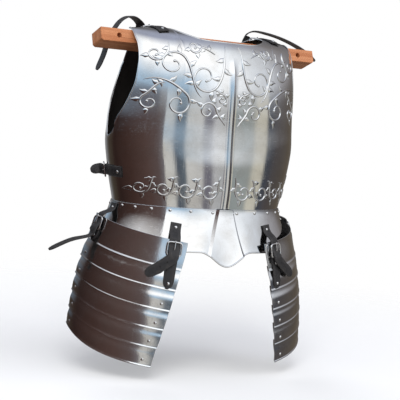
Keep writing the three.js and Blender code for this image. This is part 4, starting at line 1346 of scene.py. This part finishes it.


# Rivets, and near-black discs of painted shade for the punched holes, placed by geometry nodes


def dome_tree(name):
    """Geometry nodes that set a low dome on every point, turned to the point's way out."""
    inputs = [
        ("Geometry", "Geometry", None), ("Radius", "Float", 0.003), ("Dome", "Float", 0.6),
        ("Segments", "Int", 16), ("Finish", "Material", None),
    ]
    outputs = [("Geometry", "Geometry")]
    tree, board, given, wanted = new_group(name, inputs, outputs, "GeometryNodeTree")
    links = {"Segments": given["Segments"], "Rings": 8, "Radius": given["Radius"]}
    ball = board.node("GeometryNodeMeshUVSphere", links)
    scale = board.node("ShaderNodeCombineXYZ", {"X": 1.0, "Y": 1.0, "Z": given["Dome"]})
    links = {"Geometry": ball.outputs["Mesh"], "Scale": scale.outputs["Vector"]}
    flat = board.node("GeometryNodeTransform", links)
    way = board.node("GeometryNodeInputNamedAttribute", {"Name": "out"}, data_type="FLOAT_VECTOR")
    turn = board.node("FunctionNodeAlignRotationToVector", {"Vector": way.outputs["Attribute"]}, axis="Z")
    links = {"Points": given["Geometry"], "Instance": flat.outputs["Geometry"]}
    placed = board.node("GeometryNodeInstanceOnPoints", links)
    board.put(placed.inputs["Rotation"], turn.outputs["Rotation"])
    real = board.node("GeometryNodeRealizeInstances", {"Geometry": placed.outputs["Instances"]})
    smooth_faces = board.node("GeometryNodeSetShadeSmooth", {"Geometry": real.outputs["Geometry"]})
    links = {"Geometry": smooth_faces.outputs["Geometry"], "Material": given["Finish"]}
    dressed = board.node("GeometryNodeSetMaterial", links)
    board.put(wanted["Geometry"], dressed.outputs["Geometry"])
    return tree


def instances(name, tree_name, places, radius, dome, finish, segments=16):
    """A piece of domes on the places given, made by geometry nodes and turned into a plain mesh."""
    seeds = bpy.data.meshes.new(name + "_seeds")
    seeds.from_pydata([tuple(point) for point, _ in places], [], [])
    ways = seeds.attributes.new("out", "FLOAT_VECTOR", "POINT")
    ways.data.foreach_set("vector", np.array([out for _, out in places], dtype=np.float32).ravel())
    carrier = add_object(name, seeds)
    modifier = carrier.modifiers.new("Domes", "NODES")
    modifier.node_group = dome_tree(tree_name)
    values = {"Radius": radius, "Dome": dome, "Segments": segments, "Finish": finish}
    for item in modifier.node_group.interface.items_tree:
        if item.in_out == "INPUT" and item.name in values:
            modifier[item.identifier] = values[item.name]
    carrier.update_tag()
    bpy.context.view_layer.update()
    evaluated = carrier.evaluated_get(bpy.context.evaluated_depsgraph_get())
    plain = bpy.data.meshes.new_from_object(evaluated)
    carrier.modifiers.remove(modifier)
    carrier.data = plain
    plain.name = name
    finish_piece(carrier, ())
    return carrier


def make_rivets(s):
    """Rivet heads of the waist plates, the tassets and the straps."""
    places = []
    face = face_of(waist, s)
    for middle, count, lift in ((0, 12, 0.0), (math.pi, 6, waist_back_lift(s))):
        for angle in np.linspace(-WAIST_RIVET_END, WAIST_RIVET_END, count):
            places.append(on(s, face, middle + math.radians(angle), WAIST_RIVET_FALL, lift))
    for side in SIDES.values():
        lower = face_of(tasset, s, side)
        for number in range(1, len(LAME_ENDS) + 1):
            for is_side, covered in ((False, 2), (True, 1)):
                if number > covered:
                    fall = rivet_fall(s, number)
                    places.append(on(s, lower, beside_edge(fall, is_side), fall))
    for fastening in fastenings(s):
        places += fastening["rivets"]
    finish = material("Buckle wire")
    instances("rivets", "Rivet heads", places, s.trim.rivet, s.trim.dome, finish)


# Bar and stage


def make_bar(s):
    """The bar, from the CAD solid with its flat faces whole again and its edges rounded."""
    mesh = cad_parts["hanging_bar"].data.copy()
    mesh.name = "bar"
    shape = bmesh.new()
    shape.from_mesh(mesh)
    bmesh.ops.remove_doubles(shape, verts=shape.verts, dist=1e-5)
    bmesh.ops.dissolve_limit(
        shape, angle_limit=math.radians(1), verts=shape.verts, edges=shape.edges, delimit={"NORMAL"}
    )
    bmesh.ops.triangulate(shape, faces=[face for face in shape.faces if len(face.verts) > 4])
    shape.to_mesh(mesh)
    shape.free()
    mesh.materials.clear()
    mesh.materials.append(material("Bar wood"))
    mesh.polygons.foreach_set("use_smooth", np.ones(len(mesh.polygons), dtype=bool))
    mesh.set_sharp_from_angle(angle=math.radians(30))
    piece = add_object("bar", mesh)
    round_edges(piece, 1.2 * MM, 3, 20)
    finish_piece(piece, ["hanging_bar"])


# The camera that fits the photograph: its place in metres, its turns in degrees and its lens in millimetres.
CAMERA_PLACE = (-1.2516, -2.1424, -0.1290)
CAMERA_YAW, CAMERA_PITCH, CAMERA_ROLL = 30.514, 4.267, 4.618
CAMERA_LENS, SENSOR = 106.95, 36.0


def make_camera():
    """The camera at the photograph's viewing angle."""
    data = bpy.data.cameras.new("camera")
    data.lens, data.sensor_width = CAMERA_LENS, SENSOR
    camera = add_object("camera", data)
    turn = Matrix.Rotation(math.radians(-CAMERA_YAW), 3, "Z")
    turn = turn @ Matrix.Rotation(math.radians(90 - CAMERA_PITCH), 3, "X")
    turn = turn @ Matrix.Rotation(math.radians(CAMERA_ROLL), 3, "Z")
    camera.matrix_world = Matrix.Translation(CAMERA_PLACE) @ turn.to_4x4()
    bpy.context.scene.camera = camera


# The surroundings that the polished plates reflect, by degrees round from the front, +90 on the right.
# The horizon: dark on the left, pale and dark bands in front, shade on the right.
HORIZON = [
    (-180, (0.3, 0.3, 0.31)),
    (-160, (0.09, 0.08, 0.06)),
    (-110, (0.035, 0.02, 0.016)),
    (-45, (0.09, 0.055, 0.048)),
    (-32, (0.14, 0.12, 0.12)),
    (-28, (0.74, 0.71, 0.65)),
    (-11, (0.66, 0.64, 0.6)),
    (-7, (0.1, 0.12, 0.15)),
    (0, (0.13, 0.16, 0.19)),
    (2.5, (0.72, 0.7, 0.66)),
    (14, (0.62, 0.6, 0.57)),
    (17, (0.2, 0.19, 0.22)),
    (21, (0.2, 0.19, 0.22)),
    (24, (0.58, 0.57, 0.57)),
    (31, (0.48, 0.49, 0.49)),
    (35, (0.33, 0.36, 0.35)),
    (46, (0.36, 0.38, 0.36)),
    (50, (0.7, 0.66, 0.55)),
    (59, (0.64, 0.6, 0.5)),
    (62, (0.06, 0.07, 0.09)),
    (75, (0.09, 0.08, 0.08)),
    (110, (0.12, 0.098, 0.075)),
    (150, (0.2, 0.18, 0.16)),
    (180, (0.3, 0.3, 0.31)),
]
# The sky: bright in front, dull on the right and behind.
SKY = [
    (-180, (0.4, 0.4, 0.42)),
    (-115, (0.6, 0.6, 0.62)),
    (-85, (1.0, 1.02, 1.05)),
    (-60, (1.5, 1.5, 1.5)),
    (20, (1.5, 1.5, 1.5)),
    (45, (0.95, 0.98, 1.02)),
    (62, (0.72, 0.74, 0.78)),
    (80, (0.42, 0.41, 0.43)),
    (110, (0.26, 0.24, 0.24)),
    (150, (0.14, 0.14, 0.15)),
    (180, (0.4, 0.4, 0.42)),
]
SKY_LOW = (0.5, 0.68, 0.86)
ZENITH = (0.45, 0.48, 0.6)
GROUND = (0.4, 0.38, 0.36)


def ramp_by_degrees(board, share, table):
    """A colour ramp over a turn from -180 to 180 degrees."""
    node = board.node("ShaderNodeValToRGB", {"Fac": share})
    ramp = node.color_ramp
    ramp.elements.remove(ramp.elements[-1])
    for index, (degrees, tone) in enumerate(table):
        place = (degrees + 180) / 360
        element = ramp.elements[0] if index == 0 else ramp.elements.new(place)
        element.position = place
        element.color = (*tone, 1)
    return node.outputs["Color"]


def turn_share(board, parts):
    """How far round a way lies, from 0 at the back over 0.5 at the front to 1."""
    turn = board.math("ARCTAN2", parts["X"], board.math("MULTIPLY", parts["Y"], -1.0))
    return board.range(turn, -math.pi, math.pi, 0.0, 1.0)


def make_world():
    """A plain white studio to the camera, and horizon and sky to the steel."""
    world = bpy.data.worlds.new("Studio")
    bpy.context.scene.world = world
    world.use_nodes = True
    board = Board(world.node_tree)
    board.nodes.clear()
    way = board.node("ShaderNodeTexCoord").outputs["Generated"]
    parts = board.node("ShaderNodeSeparateXYZ", {"Vector": way}).outputs
    share = turn_share(board, parts)
    height = parts["Z"]
    bright = ramp_by_degrees(board, share, SKY)
    is_front = board.range(share, 0.5, 0.58, 1.0, 0.0)
    pale = board.mix(is_front, bright, (*SKY_LOW, 1))
    sky = board.mix(board.range(height, 0.17, 0.36, 0.0, 1.0), pale, bright)
    sky = board.mix(board.range(height, 0.72, 0.97, 0.0, 1.0), sky, (*ZENITH, 1))
    around = ramp_by_degrees(board, share, HORIZON)
    ground = board.mix(board.range(height, -0.75, -0.4, 1.0, 0.0), around, (*GROUND, 1))
    seen = board.mix(board.range(height, 0.015, 0.14, 0.0, 1.0), ground, sky)
    steel_light = board.node("ShaderNodeBackground", {"Color": seen, "Strength": 1.0}).outputs[0]
    plain = board.node("ShaderNodeBackground", {"Color": (1, 1, 1, 1), "Strength": 1.0}).outputs[0]
    is_camera = board.node("ShaderNodeLightPath").outputs["Is Camera Ray"]
    both = board.node("ShaderNodeMixShader", {0: is_camera, 1: steel_light, 2: plain}).outputs[0]
    sink = board.node("ShaderNodeOutputWorld")
    board.put(sink.inputs["Surface"], both)


# A dark card stands close on the left, out of the camera's sight, as far up as the shoulders. It is what
# the side of the chest and the tassets reflect. Its ends are in degrees round from the front.
CARD_RADIUS, CARD_TOP, CARD_BOTTOM = 0.65, 0.0, -1.3
CARD_START, CARD_END = -168, -29
CARD_TONES = [
    (-180, (0.09, 0.07, 0.055)),
    (-150, (0.055, 0.037, 0.027)),
    (-115, (0.033, 0.018, 0.015)),
    (-80, (0.062, 0.033, 0.027)),
    (-50, (0.1, 0.06, 0.052)),
    (-36, (0.12, 0.085, 0.08)),
    (-29, (0.2, 0.18, 0.19)),
]


def make_card():
    """The dark card, which only reflections see. It fades out towards the back and the top."""
    turns = np.radians(np.linspace(CARD_START, CARD_END, 60))
    top = [(CARD_RADIUS * math.sin(a), -CARD_RADIUS * math.cos(a), CARD_TOP) for a in turns]
    bottom = [(x, y, CARD_BOTTOM) for x, y, _ in top]
    count = len(top)
    mesh = bpy.data.meshes.new("reflector_card")
    mesh.from_pydata(top + bottom, [], [(i, i + 1, count + i + 1, count + i) for i in range(count - 1)])
    finish = bpy.data.materials.new("Dark card")
    finish.use_nodes = True
    board = Board(finish.node_tree)
    board.nodes.clear()
    place = board.node("ShaderNodeTexCoord").outputs["Object"]
    parts = board.node("ShaderNodeSeparateXYZ", {"Vector": place}).outputs
    share = turn_share(board, parts)
    tone = ramp_by_degrees(board, share, CARD_TONES)
    glow = board.node("ShaderNodeEmission", {"Color": tone, "Strength": 1.0}).outputs[0]
    clear = board.node("ShaderNodeBsdfTransparent").outputs[0]
    starts = (CARD_START + 180) / 360
    back_fade = board.range(share, starts, starts + 0.13, 0.0, 1.0)
    top_fade = board.range(parts["Z"], CARD_TOP - 0.12, CARD_TOP, 1.0, 0.0)
    fade = board.math("MULTIPLY", back_fade, top_fade)
    both = board.node("ShaderNodeMixShader", {0: fade, 1: clear, 2: glow}).outputs[0]
    sink = board.node("ShaderNodeOutputMaterial")
    board.put(sink.inputs["Surface"], both)
    mesh.materials.append(finish)
    card = add_object("reflector_card", mesh)
    for ray in ("visible_camera", "visible_diffuse", "visible_shadow", "visible_transmission"):
        setattr(card, ray, False)


# Soft lamps: name, place in metres, power in watts and size. They aim at the middle of the armour.
LAMPS = [
    ("key", (-1.6, -2.4, 1.8), 60, 1.6),
    ("fill", (2.4, -1.6, 1.2), 30, 2.0),
    ("back", (0.2, 2.6, 1.6), 30, 2.0),
]
LAMP_AIM = Vector((0, 0, -0.3))


def make_lights():
    """Lamps for what isn't steel; the plates take their light from the surroundings."""
    for name, place, power, size in LAMPS:
        data = bpy.data.lights.new(name, "AREA")
        data.energy, data.size = power, size
        lamp = add_object(name, data)
        lamp.location = place
        aim = LAMP_AIM - Vector(place)
        lamp.rotation_euler = aim.to_track_quat("-Z", "Y").to_euler()
        lamp.visible_glossy = False


# The floor's radius, and how far it lies below the armour, which hangs free.
FLOOR_RADIUS, FLOOR_BELOW = 6.0, 0.03


def make_floor(s):
    """A pale floor that fades into the background."""
    shape = bmesh.new()
    bmesh.ops.create_circle(shape, cap_ends=True, segments=96, radius=FLOOR_RADIUS)
    bmesh.ops.translate(shape, verts=shape.verts, vec=(0, 0, CAD_BOX[0].z - FLOOR_BELOW))
    mesh = bpy.data.meshes.new("floor")
    shape.to_mesh(mesh)
    shape.free()
    finish, board, shader, place = new_material("Studio floor")
    shader.inputs["Base Color"].default_value = (*s.finish.floor, 1)
    shader.inputs["Roughness"].default_value = 0.8
    parts = board.node("ShaderNodeSeparateXYZ", {"Vector": place}).outputs
    links = {"X": parts["X"], "Y": parts["Y"], "Z": 0.0}
    flat = board.node("ShaderNodeCombineXYZ", links).outputs["Vector"]
    away = board.node("ShaderNodeVectorMath", {0: flat}, operation="LENGTH").outputs["Value"]
    board.put(shader.inputs["Alpha"], board.range(away, 0.5, 1.6, 1.0, 0.0))
    mesh.materials.append(finish)
    floor = add_object("floor", mesh)
    floor.visible_glossy = False
    floor.visible_diffuse = False


# Add-on


def make_stage(s):
    """Camera, surroundings, lamps and floor."""
    bpy.context.scene.view_settings.view_transform = "Standard"
    make_camera()
    make_world()
    make_card()
    make_lights()
    make_floor(s)


class CUIRASS_OT_stage(bpy.types.Operator):
    """Adds the camera, lights, surroundings and floor"""

    bl_idname = "cuirass.stage"
    bl_label = "Stage"
    bl_options = {"REGISTER", "UNDO"}

    def execute(self, context):
        make_stage(context.scene.cuirass)
        return {"FINISHED"}


class CUIRASS_OT_breastplate(bpy.types.Operator):
    """Builds the breastplate with its rims and scrollwork"""

    bl_idname = "cuirass.breastplate"
    bl_label = "Breastplate"
    bl_options = {"REGISTER", "UNDO"}

    def execute(self, context):
        make_breastplate(context.scene.cuirass)
        return {"FINISHED"}


class CUIRASS_OT_backplate(bpy.types.Operator):
    """Builds the backplate with its rims"""

    bl_idname = "cuirass.backplate"
    bl_label = "Backplate"
    bl_options = {"REGISTER", "UNDO"}

    def execute(self, context):
        make_backplate(context.scene.cuirass)
        return {"FINISHED"}


class CUIRASS_OT_waist_plates(bpy.types.Operator):
    """Builds the front and back waist plates"""

    bl_idname = "cuirass.waist_plates"
    bl_label = "Waist plates"
    bl_options = {"REGISTER", "UNDO"}

    def execute(self, context):
        make_waist_plates(context.scene.cuirass)
        return {"FINISHED"}


class CUIRASS_OT_tassets(bpy.types.Operator):
    """Builds the lames and their inner leathers"""

    bl_idname = "cuirass.tassets"
    bl_label = "Tassets"
    bl_options = {"REGISTER", "UNDO"}

    def execute(self, context):
        make_tassets(context.scene.cuirass)
        return {"FINISHED"}


class CUIRASS_OT_straps(bpy.types.Operator):
    """Builds the straps, chapes and buckles"""

    bl_idname = "cuirass.straps"
    bl_label = "Straps"
    bl_options = {"REGISTER", "UNDO"}

    def execute(self, context):
        make_straps(context.scene.cuirass)
        return {"FINISHED"}


class CUIRASS_OT_rivets(bpy.types.Operator):
    """Sets the rivet heads"""

    bl_idname = "cuirass.rivets"
    bl_label = "Rivets"
    bl_options = {"REGISTER", "UNDO"}

    def execute(self, context):
        make_rivets(context.scene.cuirass)
        return {"FINISHED"}


class CUIRASS_OT_bar(bpy.types.Operator):
    """Builds the wooden bar"""

    bl_idname = "cuirass.bar"
    bl_label = "Bar"
    bl_options = {"REGISTER", "UNDO"}

    def execute(self, context):
        make_bar(context.scene.cuirass)
        return {"FINISHED"}


STEPS = [
    CUIRASS_OT_stage,
    CUIRASS_OT_breastplate,
    CUIRASS_OT_backplate,
    CUIRASS_OT_waist_plates,
    CUIRASS_OT_tassets,
    CUIRASS_OT_straps,
    CUIRASS_OT_rivets,
    CUIRASS_OT_bar,
]


class CUIRASS_PT_panel(bpy.types.Panel):
    """Sizes, colours and build steps of the cuirass"""

    bl_idname = "CUIRASS_PT_panel"
    bl_label = "Cuirass"
    bl_space_type = "VIEW_3D"
    bl_region_type = "UI"
    bl_category = "Cuirass"

    def draw(self, context):
        settings = context.scene.cuirass
        for group_name in ("torso", "waist", "tasset", "trim", "finish"):
            group = getattr(settings, group_name)
            box = self.layout.box()
            box.label(text=group_name.capitalize())
            for key in group.__annotations__:
                box.prop(group, key)
        for step in STEPS:
            self.layout.operator(step.bl_idname)


SETTINGS = [TorsoSizes, WaistSizes, TassetSizes, TrimSizes, FinishColours, CuirassSettings]
CLASSES = [*SETTINGS, *STEPS, CUIRASS_PT_panel]


def register():
    for cls in CLASSES:
        bpy.utils.register_class(cls)
    bpy.types.Scene.cuirass = bpy.props.PointerProperty(type=CuirassSettings)


def unregister():
    del bpy.types.Scene.cuirass
    for cls in reversed(CLASSES):
        bpy.utils.unregister_class(cls)


def main():
    register()
    for step in STEPS:
        group, call = step.bl_idname.split(".")
        getattr(getattr(bpy.ops, group), call)()


if __name__ == "__main__":
    main()
